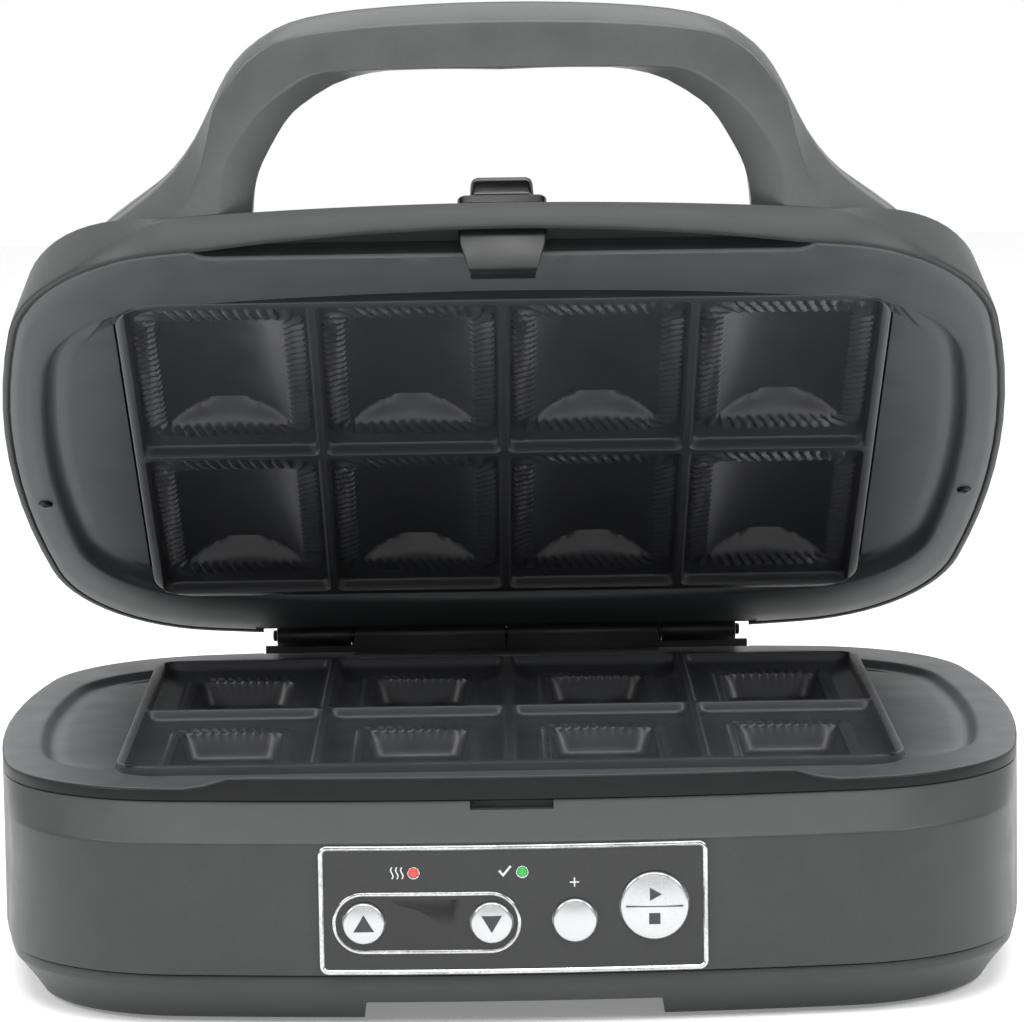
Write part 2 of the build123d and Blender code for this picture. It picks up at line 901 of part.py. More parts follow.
def make_lid_shell():
    ceiling = hinge_z + notch_rise
    outer = lid_outer() - hinge_notch(lid_z - 5, ceiling) - latch_well()
    cavity = lid_form(lid_shell_wall, dome_drop, lid_z) - hinge_notch(lid_z - 5, ceiling, lid_shell_wall)
    cavity -= latch_well(lid_shell_wall)
    shape = outer
    for x, y in lid_screw_places():
        low = lid_z + lid_deck_wall
        cavity -= rod_z(lid_boss_radius, x, y, low, lid_wall_top + 20)
    shape -= cavity
    for x, y in lid_screw_places():
        shape -= rod_z(screw_radius, x, y, lid_z, lid_z + lid_screw_length)
    shape += barrels([lid_barrel], ceiling, pin_radius + running_clearance)
    shape -= front_arch()
    shape -= neck_slot(neck_half_width, lid_wall_top - 10, lid_wall_top + 10)
    head_room = screw_head_radius + post_bore_clearance
    for rod in handle_screw_rods(screw_radius, -handle_foot, handle_screw_reach):
        shape -= rod
    for rod in handle_screw_rods(head_room, -2 * handle_foot, -handle_screw_seat):
        shape -= rod
    return shape


def handle_plane():
    lean = math.radians(handle_lean)
    origin = (0, -front_depth + handle_root_y, lid_wall_top)
    return Plane(origin=origin, x_dir=(1, 0, 0), z_dir=(0, -math.sin(lean), -math.cos(lean)))


def arch_face(side, top, height_low):
    """A face under an arch: the side points on the right, mirrored on the left, over the top point."""
    right = list(side)
    left = [(-x, y) for x, y in reversed(right)]
    curve = Spline(*right, (0, top), *left)
    start = right[0]
    rails = [
        Line((start[0], height_low), start),
        Line((-start[0], start[1]), (-start[0], height_low)),
        Line((-start[0], height_low), (start[0], height_low)),
    ]
    return make_face(Wire([rails[0], curve, rails[1], rails[2]]))


def handle_slice(near, far):
    """The arch between two depths behind its front face, trimmed where it meets the lid."""
    outer = arch_face(handle_outer, handle_height, -handle_foot)
    hole = arch_face(handle_hole, handle_hole_height, -handle_foot)
    flat = handle_plane() * Pos(0, 0, -far) * (outer - hole)
    solid = extrude(flat, amount=far - near, dir=handle_plane().z_dir)
    return solid - lid_outer()


def handle_screw_rods(radius, low, high):
    rods = []
    middle = handle_split / 2
    for x in handle_screw_x:
        for side in (-x, x):
            rod = Pos(side, (low + high) / 2, -middle) * Rot(90, 0, 0) * Cylinder(radius, high - low)
            rods.append(handle_plane() * rod)
    return rods


def make_lid_handle():
    shape = handle_slice(0, handle_split)
    for rod in handle_screw_rods(screw_radius, -handle_foot, handle_screw_reach):
        shape -= rod
    return shape


def make_handle_cover():
    return handle_slice(handle_split, handle_thickness)


def make_handle_screws():
    seat = -handle_screw_seat
    heads = handle_screw_rods(screw_head_radius, seat - screw_head_height, seat)
    shanks = handle_screw_rods(screw_radius, seat, handle_screw_reach)
    return [head + shank for head, shank in zip(heads, shanks)]


def make_lid_deck():
    inset = lid_shell_wall + lid_fit
    reach = -front_depth + trough_depth
    edge = rise(wall_plan(inset, lid_z), lid_deck_wall)
    wall = lid_deck_wall
    shape = edge + (rise(recess_plan(-wall, lid_z), lid_recess + wall))
    half = trough_half_width
    trough = rise(wall_plan(inset, lid_z), lid_recess + wall) & block(
        -half - wall, half + wall, -front_depth, reach + wall, lid_z, lid_deck_top
    )
    shape += trough
    shape -= rise(recess_plan(0, lid_z), lid_recess)
    shape -= plate_seat(lid_z, upper_recess_z)
    shape -= block(-half, half, -front_depth, reach, lid_z, upper_recess_z)
    shape -= plate_opening(lid_z, lid_deck_top)
    shape -= hinge_notch(lid_z - 5, lid_deck_top + 5, lid_shell_wall + lid_fit)
    shape -= neck_slot(tongue_half_top, lid_z, lid_deck_top)
    for x, y in lid_screw_places():
        shape -= rod_z(screw_radius + lid_fit, x, y, lid_z, lid_z + wall)
    return shape


def make_lid_screws():
    screws = []
    for x, y in lid_screw_places():
        head = rod_z(lid_screw_head, x, y, lid_z - lid_screw_proud, lid_z)
        screws.append(head + rod_z(screw_radius, x, y, lid_z, lid_z + lid_screw_length))
    return screws


def vault(width, depth, height, z):
    """A barrel vault along Y that stands on the height z."""
    radius = (width**2 / 4 + height**2) / (2 * height)
    rod = Pos(0, 0, z + height - radius) * Rot(90, 0, 0) * Cylinder(radius, depth)
    return rod & block(-width / 2, width / 2, -depth / 2, depth / 2, z, z + height + 1)


def make_upper_plate():
    land_z = upper_recess_z
    shape = slab(plate_half_x, plate_half_y, plate_corner, upper_crest_z, land_z)
    shape += slab(body_half_x, body_half_y, plate_corner, land_z, land_z + plate_wall)
    for x, y in cells():
        wide = vault_width + 2 * plate_wall
        deep = vault_depth + 2 * plate_wall
        shape += Pos(x, y, 0) * vault(wide, deep, vault_rise + plate_wall, land_z)
    for x, y in cells():
        well = tapered(
            cell_width - rib, cell_depth - rib, cell_corner, upper_crest_z,
            upper_land_width, upper_land_depth, land_corner, land_z - land_step,
        )
        shape -= Pos(x, y, 0) * well
        hollow = vault(vault_width, vault_depth, vault_rise + land_step, land_z - land_step)
        shape -= Pos(x, y, 0) * hollow
    shield_z = lid_deck_top + upper_shield_rise - shield_wall
    for x, y in plate_bosses():
        shape += rod_z(boss_radius, x, y, land_z + plate_wall, shield_z)
    for x, y in plate_bosses():
        shape -= rod_z(screw_radius, x, y, land_z + plate_wall + screw_margin, shield_z)
    return shape


def upper_element_z():
    return upper_recess_z + vault_rise + plate_wall + element_radius + element_gap


def make_upper_shield():
    top = lid_deck_top + upper_shield_rise
    shape = shield(lid_deck_top, top, top, upper_shield_corner)
    lead = element_lead_x + 2 * element_radius
    z = upper_element_z()
    back = plate_half_y + 2 * shield_margin
    return shape - block(-lead, lead, body_half_y, back, z - 2 * element_radius, top - shield_wall)


def make_upper_plate_screws():
    seat = lid_deck_top + upper_shield_rise
    tip = upper_recess_z + plate_wall + screw_margin
    screws = []
    for x, y in plate_bosses():
        head = rod_z(screw_head_radius, x, y, seat, seat + screw_head_height)
        screws.append(head + rod_z(screw_radius, x, y, tip, seat))
    return screws


def make_upper_sensor():
    z = upper_recess_z + plate_wall
    return rod_z(sensor_radius, 0, 0, z, z + sensor_height)


def make_lower_sensor():
    z = recess_z - plate_wall
    return rod_z(sensor_radius, 0, 0, z - sensor_height, z)


def make_latch_hook():
    y0 = -front_depth + tongue_front
    y1 = y0 + tongue_wall
    low = lid_z - tongue_drop
    shoulder = lid_wall_top - shoulder_drop
    top = lid_wall_top + well_rise + bezel_height + neck_rise
    half_0 = tongue_half_bottom
    half_1 = tongue_half_top
    outline = Polyline(
        (-half_0, low), (half_0, low), (half_1, lid_z), (half_1, shoulder), (neck_half_width, shoulder),
        (neck_half_width, top), (-neck_half_width, top),
        (-neck_half_width, shoulder), (-half_1, shoulder),
        (-half_1, lid_z), close=True,
    )
    shape = Pos(0, y1, 0) * extrude(Plane.XZ * make_face(outline), amount=tongue_wall)
    return shape + block(-nose_half_width, nose_half_width, y1, y1 + nose_length, low, low + nose_height)


def make_latch_slider():
    z = lid_wall_top + well_rise + bezel_height + slider_clearance
    y0 = -front_depth + tongue_front - slider_lead
    shape = block(-slider_half_width, slider_half_width, y0, y0 + slider_length, z, z + slider_height)
    shape = fillet(shape.edges().group_by(Axis.Z)[-1], slider_edge)
    half = slider_half_width - grip_margin
    top = z + slider_height
    for row in (-1, 0, 1):
        y = y0 + slider_length / 2 + row * grip_pitch
        near, far = y - grip_width / 2, y + grip_width / 2
        shape -= block(-half, half, near, far, top - grip_depth, top + grip_depth)
    neck_y = -front_depth + tongue_front
    neck_top = z + neck_rise - slider_clearance
    return shape - block(-neck_half_width, neck_half_width, neck_y, neck_y + tongue_wall, z - 1, neck_top)


def make_latch_bezel():
    z = lid_wall_top + well_rise
    half = well_half_width - bezel_clearance
    y0 = -front_depth + well_front + bezel_clearance
    shape = block(-half, half, y0, y0 + well_depth - 2 * bezel_clearance, z, z + bezel_height)
    shape = fillet(shape.edges().filter_by(Axis.Z), bezel_corner)
    return shape - neck_slot(neck_half_width, z, z + bezel_height)


def make_parts():
    """Every node with its shapes: the base's pieces, then the lid's, which open together."""
    base = {
        "base_housing": make_base_housing(),
        "base_pan": make_base_pan(),
        "rubber_feet": make_rubber_feet(),
        "base_screws": make_base_screws(),
        "lower_deck": make_lower_deck(),
        "lower_plate": make_lower_plate(),
        "lower_element": element(lower_element_z()),
        "element_clips": make_element_clips(),
        "lower_heat_shield": make_lower_shield(),
        "lower_plate_screws": make_lower_plate_screws(),
        "lower_thermostat": make_lower_sensor(),
        "thermal_fuse": make_thermal_fuse(),
        "fascia_panel": make_fascia_panel(),
        "fascia_frame": make_fascia_frame(),
        "display_ring": make_display_ring(),
        "display_window": make_display_window(),
        "display_module": make_display_module(),
        "heating_lamp": make_lamp(lamp_x[0]),
        "ready_lamp": make_lamp(lamp_x[1]),
        "lamp_rings": make_lamp_rings(),
        "indicator_leds": make_indicator_leds(),
        "control_board": make_control_board(),
        "board_screws": make_board_screws(),
        "tact_switches": make_tact_switches(),
        "power_board": make_power_board(),
        "relay": make_relay(),
        "capacitor": make_capacitor(),
        "cord_gland": make_cord_gland(),
        "hinge_pin": make_hinge_pin(),
    }
    for name, (x, z, radius) in buttons.items():
        base[name] = make_button(x, z, radius)
    lid = {
        "lid_shell": make_lid_shell(),
        "lid_handle": make_lid_handle(),
        "handle_cover": make_handle_cover(),
        "handle_screws": make_handle_screws(),
        "lid_deck": make_lid_deck(),
        "lid_screws": make_lid_screws(),
        "upper_plate": make_upper_plate(),
        "upper_element": element(upper_element_z()),
        "upper_heat_shield": make_upper_shield(),
        "upper_plate_screws": make_upper_plate_screws(),
        "upper_thermostat": make_upper_sensor(),
        "latch_bezel": make_latch_bezel(),
        "latch_hook": make_latch_hook(),
        "latch_slider": make_latch_slider(),
    }
    hinge = Axis((0, hinge_y, hinge_z), (-1, 0, 0))
    nodes = {name: as_list(shape) for name, shape in base.items()}
    for name, shape in lid.items():
        nodes[name] = [piece.rotate(hinge, open_at_rest) for piece in as_list(shape)]
    return nodes


def as_list(shape):
    return list(shape) if isinstance(shape, (list, tuple, ShapeList)) else [shape]


def centre_y(nodes):
    """The middle of the whole object's depth at rest, which becomes the origin."""
    boxes = [piece.bounding_box() for pieces in nodes.values() for piece in pieces]
    return (min(box.min.Y for box in boxes) + max(box.max.Y for box in boxes)) / 2


def main():
    os.makedirs("parts", exist_ok=True)
    nodes = make_parts()
    shift = -centre_y(nodes)
    print(f"shift_y {shift:.4f} hinge_y {hinge_y + shift:.4f} hinge_z {hinge_z:.4f}")
    for name, pieces in nodes.items():
        placed = [Pos(0, shift, 0) * solid for piece in pieces for solid in piece.solids()]
        shape = placed[0] if len(placed) == 1 else Compound(placed)
        export_step(shape, f"parts/{name}.step")


main()
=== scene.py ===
import math
import bpy
import bmesh
from mathutils import Matrix, Vector


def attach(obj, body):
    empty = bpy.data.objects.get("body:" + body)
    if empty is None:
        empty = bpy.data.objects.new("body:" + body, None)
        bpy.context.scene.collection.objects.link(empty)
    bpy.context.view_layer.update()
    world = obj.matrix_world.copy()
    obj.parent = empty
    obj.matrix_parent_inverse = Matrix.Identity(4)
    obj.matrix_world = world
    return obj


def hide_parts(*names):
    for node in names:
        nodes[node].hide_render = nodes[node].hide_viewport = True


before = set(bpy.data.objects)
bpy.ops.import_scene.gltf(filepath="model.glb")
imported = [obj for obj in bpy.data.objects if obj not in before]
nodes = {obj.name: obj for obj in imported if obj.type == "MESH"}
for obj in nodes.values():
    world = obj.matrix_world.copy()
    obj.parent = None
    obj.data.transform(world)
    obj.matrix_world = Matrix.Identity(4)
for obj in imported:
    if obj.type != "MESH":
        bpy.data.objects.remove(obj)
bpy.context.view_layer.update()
print("frame loaded:", len(nodes), "nodes")

# Sizes are millimetres in the closed pose; the lid's pieces are turned open when they are placed.
pose = {"shiftY": -0.3637, "hingeY": 138.0, "hingeZ": 76.5, "openDegrees": 35.0}
plan = {
    "halfWidth": 164.0, "front": 141.0, "rear": 137.0, "rimFront": 129.0,
    "sideBow": 450.0, "endBow": 810.0, "corner": 61.0,
    "sideSteps": 5, "cornerSteps": 13, "endSteps": 16,
}


def basePoint(x, y, z):
    return Vector((x, y + pose["shiftY"], z)) / 1000


def lidPoint(x, y, z):
    turn = math.radians(pose["openDegrees"])
    dy = y - pose["hingeY"]
    dz = z - pose["hingeZ"]
    restY = pose["hingeY"] + pose["shiftY"] + dy * math.cos(turn) + dz * math.sin(turn)
    restZ = pose["hingeZ"] - dy * math.sin(turn) + dz * math.cos(turn)
    return Vector((x, restY, restZ)) / 1000


def smooth(t):
    t = min(max(t, 0.0), 1.0)
    return t * t * (3 - 2 * t)


# Outlines: three bows that meet smoothly in each quarter, as moulded
def bowCentres(depth):
    side = Vector((plan["halfWidth"] - plan["sideBow"], 0))
    end = Vector((0, depth - plan["endBow"]))
    reachSide = plan["sideBow"] - plan["corner"]
    reachEnd = plan["endBow"] - plan["corner"]
    gap = (end - side).length
    along = (reachSide**2 - reachEnd**2 + gap**2) / (2 * gap)
    across = math.sqrt(reachSide**2 - along**2)
    u = (end - side) / gap
    corner = side + along * u + across * Vector((-u.y, u.x))
    if corner.x < 0 or corner.y < 0:
        corner = side + along * u - across * Vector((-u.y, u.x))
    return side, end, corner


def quarterPoints(depth, inset):
    side, end, corner = bowCentres(depth)
    turnOne = math.atan2(corner.y - side.y, corner.x - side.x)
    turnTwo = math.atan2(corner.y - end.y, corner.x - end.x)
    arcs = (
        (side, plan["sideBow"] - inset, 0.0, turnOne, plan["sideSteps"]),
        (corner, plan["corner"] - inset, turnOne, turnTwo, plan["cornerSteps"]),
        (end, plan["endBow"] - inset, turnTwo, math.pi / 2, plan["endSteps"]),
    )
    points = []
    for centre, radius, start, stop, steps in arcs:
        for i in range(steps):
            a = start + (stop - start) * i / steps
            points.append((centre.x + radius * math.cos(a), centre.y + radius * math.sin(a)))
    points.append((0.0, depth - inset))
    return points


def planRing(front, rear, inset):
    back = quarterPoints(rear, inset)
    fore = quarterPoints(front, inset)
    ring = back[:-1] + [(-x, y) for x, y in reversed(back)][:-1]
    return ring + [(-x, -y) for x, y in fore][:-1] + [(x, -y) for x, y in reversed(fore)][:-1]


def wallRing(inset):
    return planRing(plan["front"], plan["rear"], inset)


def rimRing(inset):
    return planRing(plan["rimFront"], plan["rear"], inset)


def recessRing(inset):
    return planRing(plan["rimFront"] - 23 + 14, plan["rear"] - 28 + 14, 14 + inset)


def mixRings(a, b, t):
    return [(p[0] + (q[0] - p[0]) * t, p[1] + (q[1] - p[1]) * t) for p, q in zip(a, b)]


def level(ring, z):
    return [(x, y, z) for x, y in ring]


def roundedRing(width, depth, radius, steps):
    # steps: segments on half a side along Y, a corner, and half a side along X; starts at the middle of +X
    sideSteps, cornerSteps, endSteps = steps
    hx = width / 2 - radius
    hy = depth / 2 - radius
    points = []
    for i in range(sideSteps):
        points.append((width / 2, hy * i / sideSteps))
    for i in range(cornerSteps):
        a = math.pi / 2 * i / cornerSteps
        points.append((hx + radius * math.cos(a), hy + radius * math.sin(a)))
    for i in range(endSteps + 1):
        points.append((hx - hx * i / endSteps, depth / 2))
    ring = points[:-1] + [(-x, y) for x, y in reversed(points)][:-1]
    return ring + [(-x, -y) for x, y in points][:-1] + [(x, -y) for x, y in reversed(points)][:-1]


def roundedRows(rows, steps):
    # rows: width, depth, corner radius and height
    return [level(roundedRing(width, depth, radius, steps), z) for width, depth, radius, z in rows]


# Mesh building
def newPiece(name, mesh):
    piece = bpy.data.objects.new(name, mesh)
    bpy.context.scene.collection.objects.link(piece)
    return piece


def meshPiece(name, bm):
    mesh = bpy.data.meshes.new(name)
    bm.to_mesh(mesh)
    bm.free()
    return newPiece(name, mesh)


def banded(name, rings, place, caps=(), loop=False, outward=True):
    # joins rings of equal count; caps tells which ends are closed
    bm = bmesh.new()
    rows = [[bm.verts.new(place(*p)) for p in ring] for ring in rings]
    count = len(rows[0])
    pairs = list(zip(rows[:-1], rows[1:]))
    if loop:
        pairs.append((rows[-1], rows[0]))
    for a, b in pairs:
        for i in range(count):
            j = (i + 1) % count
            bm.faces.new((a[i], a[j], b[j], b[i]))
    if "first" in caps:
        bm.faces.new(list(reversed(rows[0])))
    if "last" in caps:
        bm.faces.new(rows[-1])
    if outward:
        bmesh.ops.recalc_face_normals(bm, faces=bm.faces)
    return meshPiece(name, bm)


def skin(name, rings, place=basePoint, loop=False):
    # a closed skin
    return banded(name, rings, place, () if loop else ("first", "last"), loop)


def softShade(piece, degrees=32.0):
    mesh = piece.data
    bm = bmesh.new()
    bm.from_mesh(mesh)
    for face in bm.faces:
        face.smooth = True
    for edge in bm.edges:
        edge.smooth = len(edge.link_faces) == 2 and edge.calc_face_angle(0.0) < math.radians(degrees)
    bm.to_mesh(mesh)
    bm.free()
    return piece


def bevel(piece, width, segments=2, degrees=30.0):
    edge = piece.modifiers.new("edge", "BEVEL")
    edge.width = width / 1000
    edge.segments = segments
    edge.limit_method = "ANGLE"
    edge.angle_limit = math.radians(degrees)
    return piece


def settle(piece):
    # turns the evaluated result into the piece's plain mesh
    view = bpy.context.evaluated_depsgraph_get()
    mesh = bpy.data.meshes.new_from_object(piece.evaluated_get(view))
    piece.modifiers.clear()
    piece.data = mesh
    return piece


def carve(piece, tools, how="DIFFERENCE"):
    for tool in tools:
        cut = piece.modifiers.new("cut", "BOOLEAN")
        cut.object = tool
        cut.operation = how
        cut.solver = "EXACT"
    settle(piece)
    for tool in tools:
        bpy.data.objects.remove(tool)
    return piece


def boxPiece(name, x0, x1, y0, y1, z0, z1, place=basePoint):
    low = [(x0, y0, z0), (x1, y0, z0), (x1, y1, z0), (x0, y1, z0)]
    high = [(x, y, z1) for x, y, _ in low]
    return skin(name, [low, high], place)


def turnedRings(profile, steps, centre=(0, 0, 0), axis="z"):
    # profile: radius and height along the axis, from one end to the other
    rings = []
    for radius, height in profile:
        ring = []
        for i in range(steps):
            a = 2 * math.pi * i / steps
            u, v = radius * math.cos(a), radius * math.sin(a)
            if axis == "z":
                p = (u, v, height)
            elif axis == "y":
                p = (u, height, v)
            else:
                p = (height, u, v)
            ring.append((p[0] + centre[0], p[1] + centre[1], p[2] + centre[2]))
        rings.append(ring)
    return rings


def turned(name, profile, steps, centre=(0, 0, 0), axis="z", place=basePoint):
    return skin(name, turnedRings(profile, steps, centre, axis), place)


def joined(name, pieces):
    bm = bmesh.new()
    for piece in pieces:
        bm.from_mesh(piece.data)
        bpy.data.objects.remove(piece)
    return meshPiece(name, bm)


# Materials
def linear(code, alpha=1.0):
    values = [int(code[i:i + 2], 16) / 255 for i in (1, 3, 5)]
    return [v / 12.92 if v <= 0.04045 else ((v + 0.055) / 1.055) ** 2.4 for v in values] + [alpha]


def addNode(tree, kind, values=None, **settings):
    node = tree.nodes.new(kind)
    for key, value in settings.items():
        setattr(node, key, value)
    for key, value in (values or {}).items():
        if isinstance(value, bpy.types.NodeSocket):
            tree.links.new(value, node.inputs[key])
        else:
            node.inputs[key].default_value = value
    return node


def newFinish(name, shader):
    finish = bpy.data.materials.new(name)
    finish.use_nodes = True
    tree = finish.node_tree
    tree.nodes.clear()
    surface = addNode(tree, "ShaderNodeBsdfPrincipled", shader)
    addNode(tree, "ShaderNodeOutputMaterial", {"Surface": surface.outputs["BSDF"]})
    return finish, tree, surface


def grain(tree, millimetres, detail=2.0, roughness=0.5):
    # a noise in object space whose features are about this many millimetres across
    place = addNode(tree, "ShaderNodeTexCoord")
    size = {"Vector": place.outputs["Object"], "Scale": 1000 / millimetres, "Detail": detail,
            "Roughness": roughness}
    return addNode(tree, "ShaderNodeTexNoise", size).outputs["Fac"]


def spread(tree, value, low, high):
    reach = {"Value": value, "From Min": 0.3, "From Max": 0.7, "To Min": low, "To Max": high}
    return addNode(tree, "ShaderNodeMapRange", reach).outputs["Result"]


def blendColours(tree, factor, low, high):
    return addNode(tree, "ShaderNodeMix", {0: factor, 6: linear(low), 7: linear(high)},
                   data_type="RGBA").outputs[2]


def pebble(tree, height, strength, millimetres):
    lift = {"Height": height, "Strength": strength, "Distance": millimetres / 1000}
    return addNode(tree, "ShaderNodeBump", lift).outputs["Normal"]


def moulded(name, dark, light, rough, grainSize, bump, **shader):
    # one recipe for plastics and paints: a faint mottle, uneven gloss and a fine surface grain
    finish, tree, surface = newFinish(name, shader.pop("sockets", {}))
    mottle = grain(tree, 14.0, 3.0)
    fine = grain(tree, grainSize, 2.0, 0.6)
    shade = addNode(tree, "ShaderNodeMath", {0: mottle, 1: fine}, operation="ADD").outputs[0]
    half = addNode(tree, "ShaderNodeMath", {0: shade, 1: 0.5}, operation="MULTIPLY").outputs[0]
    tree.links.new(blendColours(tree, spread(tree, half, 0.0, 1.0), dark, light),
                   surface.inputs["Base Color"])
    tree.links.new(spread(tree, mottle, rough[0], rough[1]), surface.inputs["Roughness"])
    tree.links.new(pebble(tree, fine, bump, grainSize * 0.25), surface.inputs["Normal"])
    return finish


finishes = {
    # moulded ABS sprayed with a metallic grey lacquer: a soft satin sheen with a fine flake
    "paint": moulded("lacqueredAbs", "#373939", "#404242", (0.38, 0.46), 0.5, 0.12,
                     sockets={"Metallic": 0.15, "Specular IOR Level": 0.3}),
    # the same lacquer, painted brighter on the handle: painted light, a lit copy of the lacquer for the light
    # that falls on the handle's face
    "handleLitPaint": moulded("lacqueredHandleLit", "#4a4c4c", "#545656", (0.34, 0.42), 0.5, 0.12,
                           sockets={"Metallic": 0.15, "Specular IOR Level": 0.4}),
    # heat-resistant moulded nylon, spark-eroded: an even satin that catches the sky at a low angle
    "deck": moulded("sparkErodedNylon", "#414446", "#4b4d4f", (0.38, 0.46), 0.4, 0.2),
    # sprayed non-stick on die-cast aluminium: nearly black, with a soft low gleam and a sandy feel
    "nonStick": moulded("nonStickCasting", "#303134", "#38393c", (0.37, 0.45), 0.45, 0.25),
    # polished black ABS: deep and glossy
    "glossBlack": moulded("polishedAbs", "#0b0b0c", "#101011", (0.12, 0.18), 0.8, 0.03),
    # fine-grained black ABS of hidden and worked parts; the same near black is laid on the lid deck's trough
    # as painted shade
    "satinBlackAndShade": moulded("texturedAbsAndShade", "#1a1b1c", "#222324", (0.35, 0.45), 0.4, 0.2),
    # bright chrome plate over polished plastic
    "chrome": moulded("chromePlate", "#8d8f90", "#dcdddd", (0.14, 0.24), 0.9, 0.02,
                      sockets={"Metallic": 1.0}),
    # vacuum-metallised silver under lacquer: bright, but softer than chrome
    "silver": moulded("metallisedAbs", "#b9bbbc", "#c6c7c8", (0.24, 0.3), 0.5, 0.04,
                      sockets={"Metallic": 0.75, "Coat Weight": 0.4, "Coat Roughness": 0.12}),
    # printed ink on the keys and the panel: matt and dark
    "ink": moulded("printedInk", "#2f3132", "#393b3c", (0.45, 0.55), 0.3, 0.1),
    "paleInk": moulded("printedPaleInk", "#c9cbcc", "#d8d9da", (0.4, 0.5), 0.3, 0.1),
    # back-printed polycarbonate: grey under a hard gloss
    "panel": moulded("glossPolycarbonate", "#222323", "#272828", (0.14, 0.18), 1.5, 0.01,
                     sockets={"Specular IOR Level": 0.4}),
    "window": moulded("smokedAcrylic", "#060607", "#09090a", (0.06, 0.1), 1.5, 0.01),
    "liquidCrystal": moulded("liquidCrystalPane", "#101113", "#141518", (0.2, 0.26), 0.6, 0.02),
    "redLens": moulded("redPolystyrene", "#e0403c", "#ea4f49", (0.12, 0.2), 0.6, 0.03,
                       sockets={"Emission Color": linear("#e8443e"), "Emission Strength": 0.25}),
    "greenLens": moulded("greenPolystyrene", "#259a3f", "#2fa94a", (0.12, 0.2), 0.6, 0.03,
                         sockets={"Emission Color": linear("#2aa045"), "Emission Strength": 0.15}),
    # near black on the deck's upright edge and the lip's front: painted shade, with little sheen
    "edgeShade": moulded("paintedEdgeShade", "#131415", "#191a1b", (0.4, 0.5), 0.4, 0.2,
                         sockets={"Specular IOR Level": 0.25}),
    # vulcanised rubber: dull and slightly dusty
    "rubber": moulded("vulcanisedRubber", "#151515", "#1f1f1f", (0.7, 0.85), 0.6, 0.3),
    # zinc-plated turned steel
    "screwSteel": moulded("zincPlatedSteel", "#9a9c9e", "#b0b2b3", (0.28, 0.4), 0.5, 0.1,
                          sockets={"Metallic": 1.0}),
    # black-oxide turned steel
    "darkSteel": moulded("blackOxideSteel", "#2b2c2e", "#38393b", (0.3, 0.4), 0.5, 0.1,
                         sockets={"Metallic": 1.0}),
    "sheet": moulded("rolledAluminium", "#b4b6b7", "#c4c6c7", (0.3, 0.42), 0.8, 0.08,
                     sockets={"Metallic": 1.0}),
    "element": moulded("oxidisedSheath", "#4a4440", "#5c544d", (0.4, 0.55), 0.8, 0.15,
                       sockets={"Metallic": 0.8}),
    "laminate": moulded("solderMask", "#12402a", "#184d33", (0.25, 0.35), 0.5, 0.08),
    "component": moulded("mouldedEpoxy", "#17181a", "#212224", (0.4, 0.5), 0.4, 0.1),
}
print("finishes made:", len(finishes))


def dress(piece, finish, body="base", node=None):
    piece.data.materials.clear()
    piece.data.materials.append(finishes[finish])
    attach(piece, body)
    if node:
        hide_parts(node)
    return piece


# Geometry Nodes: what repeats is one shape set on a grid or on marked places
def newTree(name, inputs):
    tree = bpy.data.node_groups.new(name, "GeometryNodeTree")
    sockets = {}
    for title, kind, value in inputs:
        socket = tree.interface.new_socket(title, in_out="INPUT", socket_type=kind)
        if value is not None:
            socket.default_value = value
        sockets[title] = socket.identifier
    tree.interface.new_socket("Geometry", in_out="OUTPUT", socket_type="NodeSocketGeometry")
    return tree, sockets, addNode(tree, "NodeGroupInput").outputs


def finishTree(tree, points, inputs):
    shape = addNode(tree, "GeometryNodeObjectInfo", {"Object": inputs["Shape"]}).outputs["Geometry"]
    setOut = {"Points": points, "Instance": shape}
    copies = addNode(tree, "GeometryNodeInstanceOnPoints", setOut).outputs["Instances"]
    real = addNode(tree, "GeometryNodeRealizeInstances", {"Geometry": copies}).outputs["Geometry"]
    coated = addNode(tree, "GeometryNodeSetMaterial",
                     {"Geometry": real, "Material": inputs["Finish"]}).outputs[0]
    addNode(tree, "NodeGroupOutput", {"Geometry": coated})


def makeGridTree():
    tree, sockets, inputs = newTree("copiesOnGrid", [
        ("Shape", "NodeSocketObject", None), ("Finish", "NodeSocketMaterial", None),
        ("Columns", "NodeSocketInt", 4), ("Rows", "NodeSocketInt", 2),
        ("Width", "NodeSocketFloat", 0.18), ("Depth", "NodeSocketFloat", 0.1),
    ])
    size = {"Size X": inputs["Width"], "Size Y": inputs["Depth"], "Vertices X": inputs["Columns"],
            "Vertices Y": inputs["Rows"]}
    grid = addNode(tree, "GeometryNodeMeshGrid", size).outputs["Mesh"]
    finishTree(tree, grid, inputs)
    return tree, sockets


def makePlacesTree():
    tree, sockets, inputs = newTree("copiesOnPlaces", [
        ("Places", "NodeSocketGeometry", None), ("Shape", "NodeSocketObject", None),
        ("Finish", "NodeSocketMaterial", None),
    ])
    finishTree(tree, inputs["Places"], inputs)
    return tree, sockets


gridTree, gridSockets = makeGridTree()
placesTree, placesSockets = makePlacesTree()


def repeatShape(name, host, tree, sockets, values):
    copies = host.modifiers.new("copies", "NODES")
    copies.node_group = tree
    for title, value in values.items():
        copies[sockets[title]] = value
    settle(host)
    host.name = name
    return host


def onGrid(name, shape, finish, columns, rows, width, depth):
    host = newPiece(name, bpy.data.meshes.new(name))
    values = {"Shape": shape, "Finish": finishes[finish], "Columns": columns, "Rows": rows,
              "Width": width / 1000, "Depth": depth / 1000}
    repeatShape(name, host, gridTree, gridSockets, values)
    bpy.data.objects.remove(shape)
    return host


def onPlaces(name, shape, finish, places):
    mesh = bpy.data.meshes.new(name)
    mesh.from_pydata([tuple(p) for p in places], [], [])
    host = newPiece(name, mesh)
    repeatShape(name, host, placesTree, placesSockets, {"Shape": shape, "Finish": finishes[finish]})
    bpy.data.objects.remove(shape)
    return host


